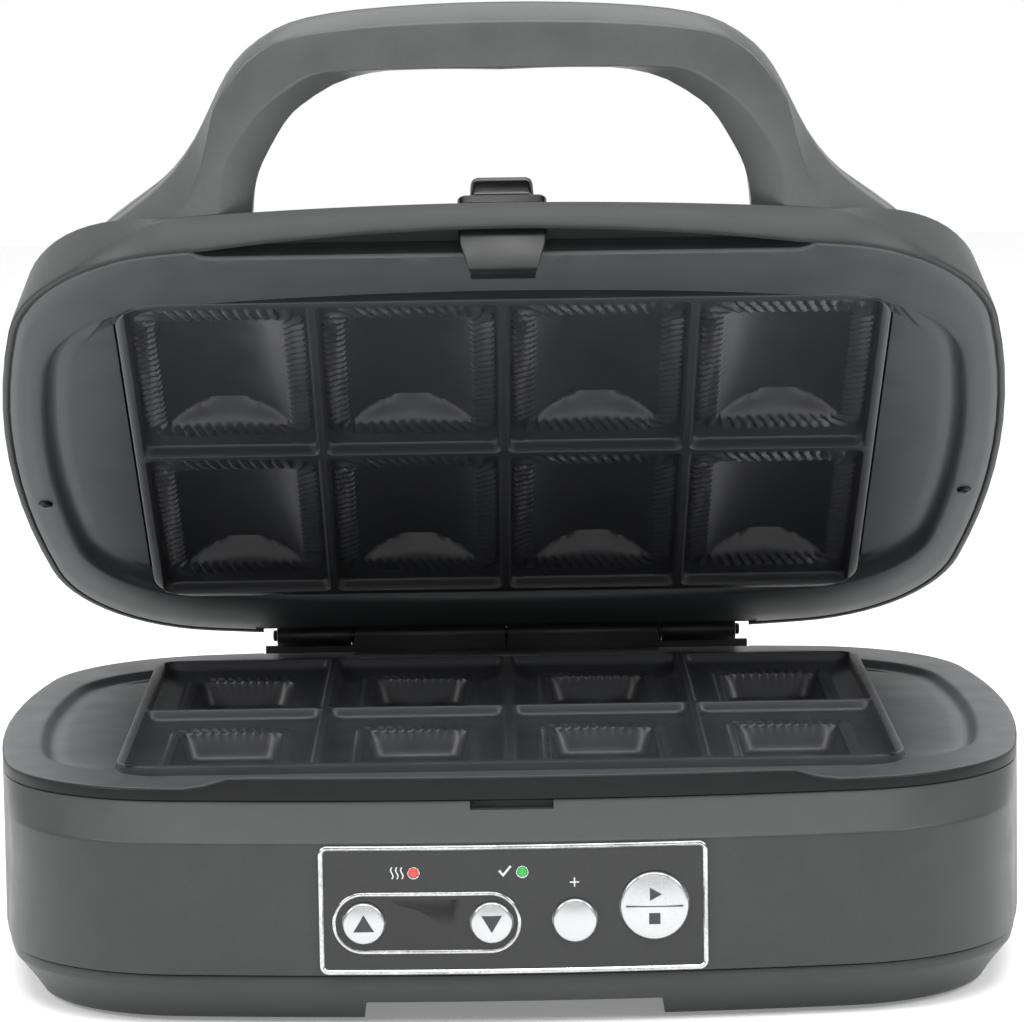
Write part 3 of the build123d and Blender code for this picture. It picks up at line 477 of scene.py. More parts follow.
def plainPoint(x, y, z):
    return Vector((x, y, z)) / 1000


# Camera: fitted to the grid of the two plates and to the outlines
camera = {"place": (-5.3, -1560.8, 345.0), "pitch": 7.548, "yaw": 0.269, "roll": 0.87, "lens": 169.68}


def makeCamera():
    data = bpy.data.cameras.new("camera")
    data.lens = camera["lens"]
    data.sensor_width = 36.0
    data.clip_end = 20
    pitch, yaw, roll = (math.radians(camera[k]) for k in ("pitch", "yaw", "roll"))
    right = Vector((math.cos(yaw), -math.sin(yaw), 0))
    look = Vector((math.sin(yaw) * math.cos(pitch), math.cos(yaw) * math.cos(pitch), -math.sin(pitch)))
    up = right.cross(look)
    imageRight = math.cos(roll) * right - math.sin(roll) * up
    imageUp = math.sin(roll) * right + math.cos(roll) * up
    eye = bpy.data.objects.new("camera", data)
    turn = Matrix((imageRight, imageUp, -look)).transposed().to_4x4()
    eye.matrix_world = Matrix.Translation(Vector(camera["place"]) / 1000) @ turn
    bpy.context.scene.collection.objects.link(eye)
    bpy.context.scene.camera = eye


makeCamera()
print("camera set")


# Hinge notch: room at the rear, cut from whatever is in its way
notch = {"half": 86.0, "front": 130.0, "wall": 2.6, "past": 160.0}


def notchTool(low, high, grow=0.0, place=basePoint):
    half = notch["half"] + grow
    return boxPiece("toolNotch", -half, half, notch["front"] - grow, notch["past"], low, high, place)


# Base housing: upright wall, crease, and a bevel that leans back to the rim at the front
housing = {"low": 16.4, "crease": 56.8, "top": 67.4, "wall": 2.6, "edge": 0.5, "creaseRound": 0.8}


def makeHousing():
    h = housing
    edge = h["edge"]
    low, crease, top, soft = h["low"], h["crease"], h["top"], h["creaseRound"]
    rim = rimRing(0)
    rings = [level(wallRing(edge), low), level(wallRing(edge * 0.3), low + edge * 0.3),
             level(wallRing(0), low + edge)]
    rings.append(level(wallRing(0), crease - soft))
    wall = wallRing(0)
    span = top - crease
    for t, drop in ((0.0, 0.12), (0.5, 0.04), (1.0, 0.0)):
        up = soft * t / span
        z = crease - soft * (1 - t) * 0.5 + up * span * 0.5 - drop
        rings.append(level(mixRings(wall, rim, up * 0.5 * t), z))
    for t in (0.12, 0.35, 0.65, 0.93, 0.98):
        rings.append(level(mixRings(wall, rim, t), crease + span * t))
    rings.append(level(rimRing(0.5), top))
    rings.append(level(rimRing(h["wall"] + 1), top))
    rings.append(level(wallRing(h["wall"]), crease - 4))
    rings.append(level(wallRing(h["wall"]), low))
    shell = skin("housing", rings, loop=True)
    tools = [
        notchTool(60.0, 80),
        boxPiece("toolFascia", -57.1, 57.1, -151, -100, 18.35, 54.85),
        boxPiece("toolSlot", -12.6, 12.6, -141, -124, 65.0, 67.6),
        turned("toolGland", [(6, 110), (6, 145)], 32, (0, 0, 34), "y"),
    ]
    carve(shell, tools)
    half, thick, front = notch["half"], notch["wall"], notch["front"]
    outer, near, far, under = half + thick, front - thick, 134.4, 60.0 - thick
    floor = boxPiece("notchFloor", -outer, outer, near, far, under, 60.0)
    cheeks = [boxPiece("cheek", x, x + thick, near, far, under, top) for x in (-outer, half)]
    back = boxPiece("notchBack", -outer, outer, near, front, under, top)
    shell = joined("baseHousing", [shell, floor, back] + cheeks)
    return dress(softShade(shell), "paint", node="base_housing")


makeHousing()


feet = {"x": 118.0, "y": 84.0, "radius": 9.0, "pocket": 9.3, "depth": 2.2}
wells = {"inset": 12.0, "radius": 3.4, "depth": 14.0, "seat": 44.4}


# Bottom pan: upright lip under the seam, then a rounded foot; open channel under the middle
def makePan():
    steps = [(1.4, 16.2), (0.95, 16.05), (0.8, 15.7), (0.8, 13.2), (0.95, 12.9), (2.3, 11.4), (4.4, 8.8),
             (6.6, 5.9), (8.6, 3.0), (9.4, 1.75), (10.2, 1.3), (11.2, 1.2)]
    rings = [level(wallRing(inset), z) for inset, z in steps]
    pan = skin("basePan", rings)
    channel = skin("toolChannel", [
        [(x * s, y, z) for x, z, s in ((45.5, 0.0, 1), (45.5, 5.9, 1), (44.5, 6.9, 1), (-44.5, 6.9, 1),
                                       (-45.5, 5.9, 1), (-45.5, 0.0, 1))] for y in (-155, 155)
    ])
    spots = []
    for depth, flip in ((plan["rimFront"], -1), (plan["rear"], 1)):
        side, end, corner = bowCentres(depth)
        a = (math.atan2(corner.y - side.y, corner.x - side.x)
             + math.atan2(corner.y - end.y, corner.x - end.x)) / 2
        x = corner.x + (plan["corner"] - wells["inset"]) * math.cos(a)
        y = corner.y + (plan["corner"] - wells["inset"]) * math.sin(a)
        for sx in (-1, 1):
            spots.append((sx * x, flip * y))
    tools = [channel]
    for x, y in spots:
        tools.append(turned("toolWell", [(wells["radius"], 0), (wells["radius"], wells["depth"])], 32,
                            (x, y, 0)))
    for x in (-feet["x"], feet["x"]):
        for y in (-feet["y"], feet["y"]):
            tools.append(turned("toolFoot", [(feet["pocket"], 0), (feet["pocket"], feet["depth"])], 48,
                                (x, y, 0)))
    carve(pan, tools)
    dress(softShade(pan), "paint", node="base_pan")
    return spots


screwWells = makePan()


def makeFeet():
    profile = [(3.0, 0.0), (6.0, 0.0), (6.3, 0.25), (6.9, 0.25), (7.2, 0.0), (8.5, 0.0), (8.9, 0.15),
               (feet["radius"], 0.5), (feet["radius"], feet["depth"])]
    shape = turned("footShape", profile, 48, place=plainPoint)
    pads = onGrid("rubberFeet", shape, "rubber", 2, 2, 2 * feet["x"], 2 * feet["y"])
    pads.data.transform(Matrix.Translation(Vector((0, pose["shiftY"] / 1000, 0))))
    dress(softShade(pads), "rubber", node="rubber_feet")


makeFeet()


def screwShape(radius, height, shank, length):
    # pan head with a cross recess, head up
    head = turned("screwShape", [(shank, -length), (shank, 0), (radius, 0), (radius, height * 0.45),
                                 (radius * 0.86, height * 0.8), (radius * 0.5, height)], 28, place=plainPoint)
    tools = []
    for long, short in ((0.62, 0.16), (0.16, 0.62)):
        a, b = radius * long, radius * short
        low, high = ([(sx * a * wide, sy * b * deep, z) for sx, sy in ((-1, -1), (1, -1), (1, 1), (-1, 1))]
                     for wide, deep, z in ((0.5, 0.6, height * 0.35), (1, 1, height * 1.3)))
        tools.append(skin("toolCross", [low, high], plainPoint))
    return softShade(carve(head, tools))


def makeBaseScrews():
    shape = screwShape(3.0, 2.4, 1.5, 18.0)
    shape.data.transform(Matrix.Rotation(math.pi, 4, "X"))
    places = [basePoint(x, y, wells["seat"]) for x, y in screwWells]
    screws = onPlaces("baseScrews", shape, "screwSteel", places)
    dress(screws, "screwSteel", node="base_screws")


makeBaseScrews()
print("base shell made")


# Base deck: flat rim, soft step to the sunk floor, and the raised lip along the front
deck = {"bottom": 67.4, "rim": 71.4, "floor": 69.4, "lip": 3.3, "lipHalf": 84.0, "lipRun": 14.0}


def lipLift(x, y):
    if y > 0:
        return 0.0
    return deck["lip"] * smooth((deck["lipHalf"] + deck["lipRun"] - abs(x)) / deck["lipRun"])


def makeDeck():
    d = deck
    rings = [level(rimRing(0.3), d["bottom"])]
    for inset, drop in ((0.0, None), (0.0, 1.0), (0.12, 0.55), (0.45, 0.18), (1.0, 0.0)):
        ring = rimRing(inset)
        if drop is None:
            rings.append(level(ring, d["bottom"] + 0.3))
        else:
            rings.append([(x, y, d["rim"] - drop + lipLift(x, y)) for x, y in ring])
    for inset, part, drop in ((2.4, 1.0, 0.0), (3.0, 1.0, 0.2), (3.35, 0.85, 0.0), (3.7, 0.1, 0.0),
                              (4.3, 0.0, 0.0)):
        rings.append([(x, y, d["rim"] - drop * (lipLift(x, y) > 0) + part * lipLift(x, y))
                      for x, y in rimRing(inset)])
    outer = rimRing(4.3)
    inner = recessRing(-2.2)
    for t in (0.4, 0.8):
        rings.append(level(mixRings(outer, inner, t), d["rim"]))

    def sunk(y):
        # the step fades out towards the front
        return 1 - smooth((-58 - y) / 34)

    fall = d["rim"] - d["floor"]
    for inset, part in ((-2.2, 0.0), (-1.5, 0.03), (-0.9, 0.16), (-0.3, 0.5), (0.3, 0.9), (1.0, 1.2),
                        (2.0, 1.3), (3.4, 1.22), (5.0, 1.06), (7.5, 1.0)):
        rings.append([(x, y, d["rim"] - fall * part * 0.85 * sunk(y)) for x, y in recessRing(inset)])
    seat = seatRing(123.2, 103.2, 15.0)
    floorRing = recessRing(7.5)
    for t in (0.5, 1.0):
        flat = mixRings(floorRing, seat, t)
        rings.append([(x, y, d["rim"] - fall * (0.85 + 0.15 * t) * (0.35 + 0.65 * sunk(y))) for x, y in flat])
    rings.append(level(seatRing(122.6, 102.6, 15.0), d["bottom"]))
    piece = skin("lowerDeck", rings, loop=True)
    carve(piece, [notchTool(60, 90)])
    dress(softShade(piece, 40), "deck", node="lower_deck")
    piece.data.materials.append(finishes["edgeShade"])
    # the upright edge all round, and the front of the lip with it, is painted near black: painted shade on the
    # lip's front and along the deck's upright edge
    for face in piece.data.polygons:
        across, deep = (abs(v) * 1000 / full
                        for v, full in zip(face.center, (plan["halfWidth"], plan["rimFront"])))
        if face.normal.z < 0.7 and across**3.2 + deep**3.2 > 0.85:
            face.material_index = 1


def seatRing(halfX, halfY, radius):
    # a rounded rectangle with the plan's own count, matched by arc
    total = plan["sideSteps"] + plan["cornerSteps"] + plan["endSteps"]
    sideSteps = plan["sideSteps"] + 2
    cornerSteps = plan["cornerSteps"] - 4
    return roundedRing(2 * halfX, 2 * halfY, radius,
                       (sideSteps, cornerSteps, total - sideSteps - cornerSteps))


makeDeck()
print("deck made")


# Baking cells: crest, steep rib wall, sloping land, fluted crimp band, then a pocket below or a vault above
cells = {"columns": 4, "rows": 2, "width": 60.0, "depth": 100.0, "rib": 2.0, "fluteSteps": 5,
         "longFlutes": 18, "shortFlutes": 8, "cornerFlutes": 2}


def cellSteps(shortFlutes):
    per = cells["fluteSteps"]
    return (per * cells["longFlutes"] // 2, per * cells["cornerFlutes"], per * shortFlutes // 2)


def flutedRing(width, depth, radius, steps, z, swing, slant):
    # swing lifts the flutes, slant turns them like a rope
    ring = []
    points = roundedRing(width, depth, radius, steps)
    for i, (x, y) in enumerate(points):
        wave = math.cos(2 * math.pi * (i / cells["fluteSteps"] + slant))
        push = 1 - 0.05 * swing * wave
        ring.append((x * push if abs(x) > abs(y) * 0.4 else x, y * (1 - 0.02 * swing * wave),
                     z + swing * wave))
    return ring


def openSkin(name, rings):
    # a cell's sheet, open at the crest; its last ring is closed by one face
    return banded(name, rings, plainPoint, ("last",), outward=False)


lowerCell = {"crest": 74.2, "land": 69.4, "pocket": (34.0, 74.0), "drop": 9.6, "draft": 2.7, "band": 4.2,
             "swing": 0.55}
upperCell = {"crest": 74.5, "land": 78.6, "vault": (41.0, 70.0), "rise": 8.4, "band": 7.0, "swing": 0.7}


def lowerCellRings():
    c = lowerCell
    steps = cellSteps(cells["shortFlutes"])
    w, d = cells["width"] - cells["rib"], cells["depth"] - cells["rib"]
    crest, land = c["crest"], c["land"]
    rings = []
    for inset, radius, fall in ((0.0, 2.6, 0.0), (0.25, 2.6, 0.35), (0.7, 2.8, 2.0), (1.1, 3.0, 3.1),
                                (1.6, 3.4, 3.5), (3.0, 4.2, 3.8)):
        rings.append(level(roundedRing(w - 2 * inset, d - 2 * inset, radius, steps), crest - fall))
    pw, pd = c["pocket"]
    band = c["band"]
    rings.append(level(roundedRing(pw + 2 * band + 1.4, pd + 2 * band + 1.4, 8.5, steps), land + 0.22))
    rings.append(level(roundedRing(pw + 2 * band, pd + 2 * band, 8.0, steps), land + 0.1))
    for t in (0.12, 0.3, 0.5, 0.7, 0.86, 1.0):
        reach = band * (1 - t)
        swing = c["swing"] * math.sin(math.pi * min(t * 1.15, 0.78))
        z = land + 0.05 - 0.9 * t * t
        ring = flutedRing(pw + 2 * reach, pd + 2 * reach, 8.0 - 2.5 * t, steps, z, swing, 0.7 * t)
        rings.append(ring)
    for t, swing in ((0.05, 0.25), (0.14, 0.08)):
        draft = 2 * c["draft"] * t
        rings.append(flutedRing(pw - draft, pd - draft, 5.5, steps, land - 0.95 - c["drop"] * t, swing, 0.75))
    floor = land - c["drop"]
    for t in (0.35, 0.65, 0.84):
        draft = 2 * c["draft"] * t
        rings.append(level(roundedRing(pw - draft, pd - draft, 5.2, steps),
                           land - 0.4 - (c["drop"] - 0.4) * t))
    wide, deep = pw - 2 * c["draft"], pd - 2 * c["draft"]
    for inset, lift in ((-0.1, 1.0), (0.35, 0.42), (0.95, 0.1), (1.8, 0.0), (4.0, 0.0)):
        rings.append(level(roundedRing(wide - 2 * inset, deep - 2 * inset, max(4.6 - inset, 1.2), steps),
                           floor + lift))
    return rings


def softMin(a, b, reach):
    h = max(reach - abs(a - b), 0) / reach
    return min(a, b) - h * h * reach * 0.25


def vaultLift(x, y):
    c = upperCell
    halfW, halfD = c["vault"][0] / 2, c["vault"][1] / 2
    radius = (halfW**2 + c["rise"]**2) / (2 * c["rise"])
    arch = math.sqrt(max(radius**2 - x * x, 0)) - (radius - c["rise"])
    gap = max(halfD - abs(y), 0)
    wall = (0.2 + 0.5 * (x / halfW)**2) * gap * gap + 0.3 * gap
    return max(softMin(arch, wall, 2.6), 0.0)


def upperCellRings():
    c = upperCell
    steps = cellSteps(cells["shortFlutes"] + 2)
    w, d = cells["width"] - cells["rib"], cells["depth"] - cells["rib"]
    crest, land = c["crest"], c["land"]
    rings = []
    for inset, radius, z in ((0.0, 2.6, crest), (0.2, 2.6, crest + 0.3), (0.5, 2.8, crest + 1.8),
                             (0.7, 3.0, crest + 3.0), (0.9, 3.4, crest + 3.8), (1.2, 4.0, land)):
        rings.append(level(roundedRing(w - 2 * inset, d - 2 * inset, radius, steps), z))
    vw, vd = c["vault"]
    band = c["band"]
    rings.append(level(roundedRing(vw + 2 * band + 0.6, vd + 2 * band + 0.6, 9.2, steps), land))
    for t in (0.0, 0.1, 0.25, 0.4, 0.55, 0.7, 0.85, 1.0):
        reach = band * (1 - t)
        swing = c["swing"] * (math.sin(math.pi * min(0.08 + t, 0.75)) if t > 0 else 0.0)
        z = land - 0.35 * math.sin(math.pi * t)
        slant = -0.75 * t - 0.2 * t * t
        rings.append(flutedRing(vw + 2 * reach, vd + 2 * reach, 9.0 - 5.5 * t, steps, z, swing, slant))
    for inset in (0.35, 0.8, 1.3, 1.9, 2.6, 3.5, 4.6, 6.0, 8.0, 10.5, 13.5, 16.5, 19.0):
        ring = roundedRing(vw - 2 * inset, vd - 2 * inset, max(3.2 - inset * 0.4, 0.6), steps)
        wave = max(1 - inset / 1.2, 0.0) * c["swing"] * 0.7
        lifted = []
        for i, (x, y) in enumerate(ring):
            ripple = wave * math.cos(2 * math.pi * (i / cells["fluteSteps"] - 0.95))
            lifted.append((x, y, land + vaultLift(x, y) + ripple))
        rings.append(lifted)
    return rings


def plateBorder(halfX, halfY, radius, z):
    return level(roundedRing(2 * halfX, 2 * halfY, radius, (8, 10, 8)), z)


def cellLoops(ring):
    loops = []
    for row in range(cells["rows"]):
        for column in range(cells["columns"]):
            x = (column - (cells["columns"] - 1) / 2) * cells["width"]
            y = (row - (cells["rows"] - 1) / 2) * cells["depth"]
            loops.append([(px + x, py + y, pz) for px, py, pz in ring])
    return loops


def webbed(name, border, loops):
    # a flat web between the plate's border and the openings of its cells
    bm = bmesh.new()
    edges = []
    for loop in [border] + loops:
        verts = [bm.verts.new(plainPoint(*p)) for p in loop]
        edges += [bm.edges.new((verts[i], verts[(i + 1) % len(verts)])) for i in range(len(verts))]
    bmesh.ops.triangle_fill(bm, use_beauty=True, use_dissolve=False, edges=edges)
    return meshPiece(name, bm)


def welded(name, pieces, place, degrees):
    whole = joined(name, pieces)
    bm = bmesh.new()
    bm.from_mesh(whole.data)
    bmesh.ops.remove_doubles(bm, verts=bm.verts, dist=0.000005)
    bmesh.ops.recalc_face_normals(bm, faces=bm.faces)
    for v in bm.verts:
        v.co = place(*(v.co * 1000))
    bm.to_mesh(whole.data)
    bm.free()
    return softShade(whole, degrees)


def makePlate(name, rings, backRings, sides, place):
    # sides: rings of the outer wall from the crest to the back
    reach = (cells["width"] * (cells["columns"] - 1), cells["depth"] * (cells["rows"] - 1))
    sheets = [onGrid(title, openSkin("cellShape", part), "nonStick", cells["columns"], cells["rows"], *reach)
              for title, part in (("cellTop", rings), ("cellBack", backRings))]
    top = webbed("crestWeb", sides[0], cellLoops(rings[0]))
    under = webbed("backWeb", sides[-1], cellLoops(backRings[0]))
    side = banded("plateSide", sides, plainPoint, outward=False)
    return welded(name, sheets + [top, under, side], place, 42)


def makeLowerPlate():
    back = roundedRows(((58, 98, 3, 66.4), (40, 80, 8, 66.4), (39, 79, 7.5, 63.0), (35.4, 75.4, 6, 56.8)),
                       (6, 5, 6))
    sides = [plateBorder(*row) for row in (
        (121.4, 101.4, 13.4, 74.2), (121.85, 101.85, 13.8, 73.9), (122, 102, 14, 73.3),
        (122, 102, 14, 69.45), (117, 97, 14, 69.4), (117, 97, 14, 66.4))]
    plate = makePlate("lowerPlate", lowerCellRings(), back, sides, basePoint)
    dress(plate, "nonStick", node="lower_plate")


def makeUpperPlate():
    back = roundedRows(((58, 98, 3, 81.6), (47, 76, 4, 81.6), (42, 74, 4, 84.2), (32, 72, 4, 87.4),
                        (18, 70, 4, 89.6), (4, 68, 1.5, 90.2)), (6, 5, 6))
    sides = [plateBorder(*row) for row in (
        (121.4, 101.4, 13.4, 74.5), (121.85, 101.85, 13.8, 74.8), (122, 102, 14, 75.4),
        (122, 102, 14, 78.55), (117, 97, 14, 78.6), (117, 97, 14, 81.6))]
    plate = makePlate("upperPlate", upperCellRings(), back, sides, lidPoint)
    dress(plate, "nonStick", body="lid", node="upper_plate")


makeLowerPlate()
makeUpperPlate()
print("plates made")


# Lid shell: upright wall with a rounded shoulder into a shallow dome
lid = {"low": 74.8, "wallTop": 86.4, "wall": 2.4, "archRise": 3.4, "archHalf": 92.0, "creaseFall": 10.0,
       "flare": 8.0,
       "dome": ((4.0, 2.3), (20.0, 11.3), (38.0, 20.1), (55.0, 24.6))}


def archLift(x, y):
    # the front wall's lower edge rises in an arc over the raised lip
    return lid["archRise"] * max(1 - (x / lid["archHalf"])**2, 0.0) if y < 0 else 0.0


def creaseDrop(x, y):
    # how far the crease over the front wall has come down; it sweeps to the lower edge at the corners
    return smooth((abs(x) - 98) / 42) * smooth((-y - 10) / 60)


def leanRing(inset):
    # a ring that is drawn in further where the crease is low
    near, far = wallRing(inset), wallRing(inset + 5.0 * max(1 - inset / 60, 0))
    ring = []
    for (x0, y0), (x1, y1) in zip(near, far):
        t = creaseDrop(x0, y0)
        ring.append((x0 + (x1 - x0) * t, y0 + (y1 - y0) * t))
    return ring


def domeHeight(inset):
    # height of the dome over the wall, through the form's own stations
    stations = [(0.0, 0.0)] + list(lid["dome"])
    for (x0, z0), (x1, z1) in zip(stations[:-1], stations[1:]):
        if inset <= x1:
            return z0 + (z1 - z0) * (inset - x0) / (x1 - x0)
    return stations[-1][1]


def lidRings(inset, drop):
    # the lid's form, drawn in by inset and lowered by drop
    rings = []
    top = lid["wallTop"] - drop
    for step in (0.0, 0.5, 1.2, 2.2, 3.4, 5.0, 8.0, 12.0, 16.0, 20.0, 24.0, 28.0, 33.0, 38.0, 42.0, 47.0,
                 52.0, 57.0):
        ease = (0.5 * (domeHeight(max(step - 1.5, 0)) + domeHeight(step + 1.5)) if step > 3
                else domeHeight(step))
        flare = lid["flare"] * (1 - smooth((step - 4) / 26)) * (1 if step > 0 else 0)
        rings.append([(x, y, top + min(ease, 24.6) + flare * creaseDrop(x, y))
                      for x, y in leanRing(inset + step)])
    return rings


def makeLidShell():
    low, wall = lid["low"], lid["wall"]
    rings = []
    for inset, z in ((wall, low + 0.6), (wall - 0.5, low + 0.1), (wall - 0.9, low), (0.8, low),
                     (0.25, low + 0.2), (0.0, low + 0.8)):
        rings.append([(x, y, z + archLift(x, y)) for x, y in wallRing(inset)])
    for lift, share in ((-1.3, 0.0), (-0.7, 0.05), (0.1, 0.3)):
        ring = mixRings(wallRing(0.0), leanRing(0.0), share * 0.2)
        rings.append([(x, y, lid["wallTop"] + lift - lid["creaseFall"] * creaseDrop(x, y) * (1 - share * 0.15))
                      for x, y in ring])
    rings += lidRings(0.0, 0.0)[1:]
    shell = skin("lidOuter", rings, lidPoint)
    cavity = skin("toolCavity", [level(wallRing(wall), low - 2)] + lidRings(wall, 2.2), lidPoint)
    carve(shell, [notchTool(70, 85.5, place=lidPoint)])
    room = carve(cavity, [notchTool(60, 87.9, wall, lidPoint)])
    carve(shell, [room, boxPiece("toolWell", -14, 14, -140, -117, 87.6, 120, lidPoint)])
    patch = boxPiece("wellFloor", -16.4, 16.4, -138.2, -114.6, 84.9, 87.6, lidPoint)
    shell = joined("lidShell", [shell, patch])
    dress(softShade(shell, 30), "paint", body="lid", node="lid_shell")


makeLidShell()
print("lid shell made")


# Lid deck: flat band round the lid, soft step to the sunk floor round the plate, and a trough at the front
lidDeck = {"low": 74.8, "recess": 3.8, "back": 81.0, "inset": 2.6,
           "troughHalf": 98.0, "troughTop": 80.0, "troughFront": -129.5}


def makeLidDeck():
    d = lidDeck
    low, fall = d["low"], d["recess"]
    outer = wallRing(d["inset"])
    inner = recessRing(-2.0)

    rings = [level(wallRing(d["inset"] + 0.05), d["back"])]
    for t, lift in ((0.0, 0.5), (0.012, 0.12), (0.03, 0.0), (0.3, 0.0), (0.6, 0.0), (1.0, 0.0)):
        rings.append(level(mixRings(outer, inner, t), low + lift))
    for inset, part in ((-1.3, 0.03), (-0.7, 0.14), (-0.1, 0.42), (0.5, 0.78), (1.2, 1.0), (2.2, 1.1),
                        (3.6, 1.08), (5.4, 1.02), (8.0, 1.0)):
        rings.append(level(recessRing(inset), low + fall * part))
    flat = recessRing(8.0)
    seat = seatRing(123.2, 103.2, 15.0)
    for t in (0.5, 1.0):
        rings.append(level(mixRings(flat, seat, t), low + fall))
    rings.append(level(seatRing(123.0, 103.0, 15.0), d["back"]))
    piece = skin("lidDeck", rings, lidPoint, loop=True)
    steps = (4, 6, 8)
    trough = []
    for grow, z in ((1.6, low - 4), (1.0, low), (0.45, low + 0.35), (0.1, low + 1.0), (0.0, d["troughTop"])):
        ring = roundedRing(2 * (d["troughHalf"] + grow), 60 + 2 * grow, 9 + grow, steps)
        trough.append([(x, y - 30 + d["troughFront"], z) for x, y in ring])
    tools = [
        notchTool(60, 90, notch["wall"], lidPoint),
        boxPiece("toolNeck", -13.5, 13.5, -137.7, -131.3, 60, 90, lidPoint),
        skin("toolTrough", trough, lidPoint),
    ]
    carve(piece, tools)
    dress(softShade(piece, 40), "deck", body="lid", node="lid_deck")
    # the trough's faces under the front wall take the near-black finish: painted shade in the deep trough
    piece.data.materials.append(finishes["satinBlackAndShade"])
    corner = lidPoint(0, d["troughFront"] + 0.2, low + 0.7)
    down = (lidPoint(0, 0, 0) - lidPoint(0, 0, 1)).normalized()
    ahead = (lidPoint(0, -1, 0) - lidPoint(0, 0, 0)).normalized()
    for face in piece.data.polygons:
        offset = face.center - corner
        if offset.dot(ahead) > 0 and 0 < -offset.dot(down) < 0.005 and abs(face.center.x) < 0.0995:
            face.material_index = 1


makeLidDeck()


def makeLidScrews():
    y = 31.0
    x = plan["halfWidth"] - plan["sideBow"] + math.sqrt((plan["sideBow"] - 8.4)**2 - y * y)
    shape = screwShape(2.4, 0.8, 1.5, 9.0)
    turn = Matrix.Rotation(math.pi - math.radians(pose["openDegrees"]), 4, "X")
    shape.data.transform(turn)
    places = [lidPoint(side * x, y, lid["low"]) for side in (-1, 1)]
    screws = onPlaces("lidScrews", shape, "darkSteel", places)
    dress(screws, "darkSteel", body="lid", node="lid_screws")


makeLidScrews()
print("lid deck made")


# Handle: an arch whose narrow front face is flanked by broad bevels; distances in the arch's own plane
handle = {
    "root": (-139.5, 86.4), "lean": 45.0, "split": 13.0, "thickness": 20.0, "steps": 26, "sweep": 0.8,
    "tilt": 5.0,
    # stations from the foot to the top: silhouette, outer crease, inner crease, inner edge
    "outer": ((137.0, -17.0), (128.0, -8.5), (119.0, -2.0), (110.0, 4.3), (101.5, 11.7), (94.5, 20.8),
              (89.0, 31.0), (84.0, 40.0), (78.0, 47.0), (69.0, 53.0), (59.0, 56.4), (43.5, 58.6),
              (22.0, 60.0), (0.0, 60.4)),
    "outerCrease": ((127.0, -19.5), (118.0, -14.5), (110.0, -9.5), (103.0, -3.4), (97.5, 3.8), (93.6, 10.9),
                    (90.5, 21.0), (88.0, 31.1), (81.3, 41.5), (73.3, 48.6), (63.2, 52.6),
                    (42.6, 55.0), (22.0, 56.0), (0.0, 56.3)),
    "innerCrease": ((86.0, -18.0), (86.6, -10.0), (87.0, -3.0), (86.6, 5.0), (85.6, 13.0), (82.0, 20.5),
                    (77.3, 27.1), (74.0, 31.0), (70.2, 34.2), (61.0, 40.3), (52.8, 42.5), (36.0, 43.0),
                    (20.0, 43.1), (0.0, 43.1)),
    "inner": ((77.6, -18.0), (77.5, -10.0), (77.0, -3.0), (76.4, 3.0), (75.3, 8.5), (73.3, 14.0),
              (68.1, 23.1), (64.8, 27.6), (61.0, 31.1), (50.9, 37.2), (39.6, 40.4), (27.3, 41.4),
              (14.0, 41.7), (0.0, 41.7)),
}


def splinePoints(points, steps):
    # a smooth open curve through the points, as evenly spaced stations
    dense = []
    ends = [points[0]] + list(points) + [(-points[-2][0], points[-2][1])]
    for i in range(1, len(ends) - 2):
        p0, p1, p2, p3 = (Vector(p) for p in ends[i - 1:i + 3])
        for k in range(12):
            t = k / 12
            dense.append(0.5 * (2 * p1 + (p2 - p0) * t + (2 * p0 - 5 * p1 + 4 * p2 - p3) * t**2
                                + (3 * p1 - p0 - 3 * p2 + p3) * t**3))
    dense.append(Vector(points[-1]))
    # stations keep the same share between the given points, so that the four curves stay matched
    found = []
    for i in range(steps + 1):
        spot = i / steps * (len(dense) - 1)
        low = min(int(spot), len(dense) - 2)
        found.append(dense[low].lerp(dense[low + 1], spot - low))
    return found


def handlePoint(x, up, back):
    # across, up and behind the front face; the legs follow the bow of the lid's front
    lean = math.radians(handle["lean"])
    rootY, rootZ = handle["root"]
    bow = plan["endBow"] - math.sqrt(plan["endBow"]**2 - x * x)
    sweep = bow * handle["sweep"] * smooth((70 - up) / 70)
    y = rootY - up * math.sin(lean) + back * math.sin(lean) + sweep
    z = rootZ + up * math.cos(lean) + back * math.cos(lean)
    if y > bow - plan["front"] + lid["wall"] + 0.4:
        z = max(z, lidDeck["back"] + 0.4)
    return lidPoint(x, y, z)


def softCorners(ring, cut):
    # each corner of a closed ring becomes a small round of three points
    found = []
    for k, p in enumerate(ring):
        a, b = ring[k - 1] - p, ring[(k + 1) % len(ring)] - p
        reach = min(cut, 0.45 * a.length, 0.45 * b.length)
        first, last = p + a.normalized() * reach, p + b.normalized() * reach
        found += [first, (first + last + 2 * p) / 4, last]
    return found


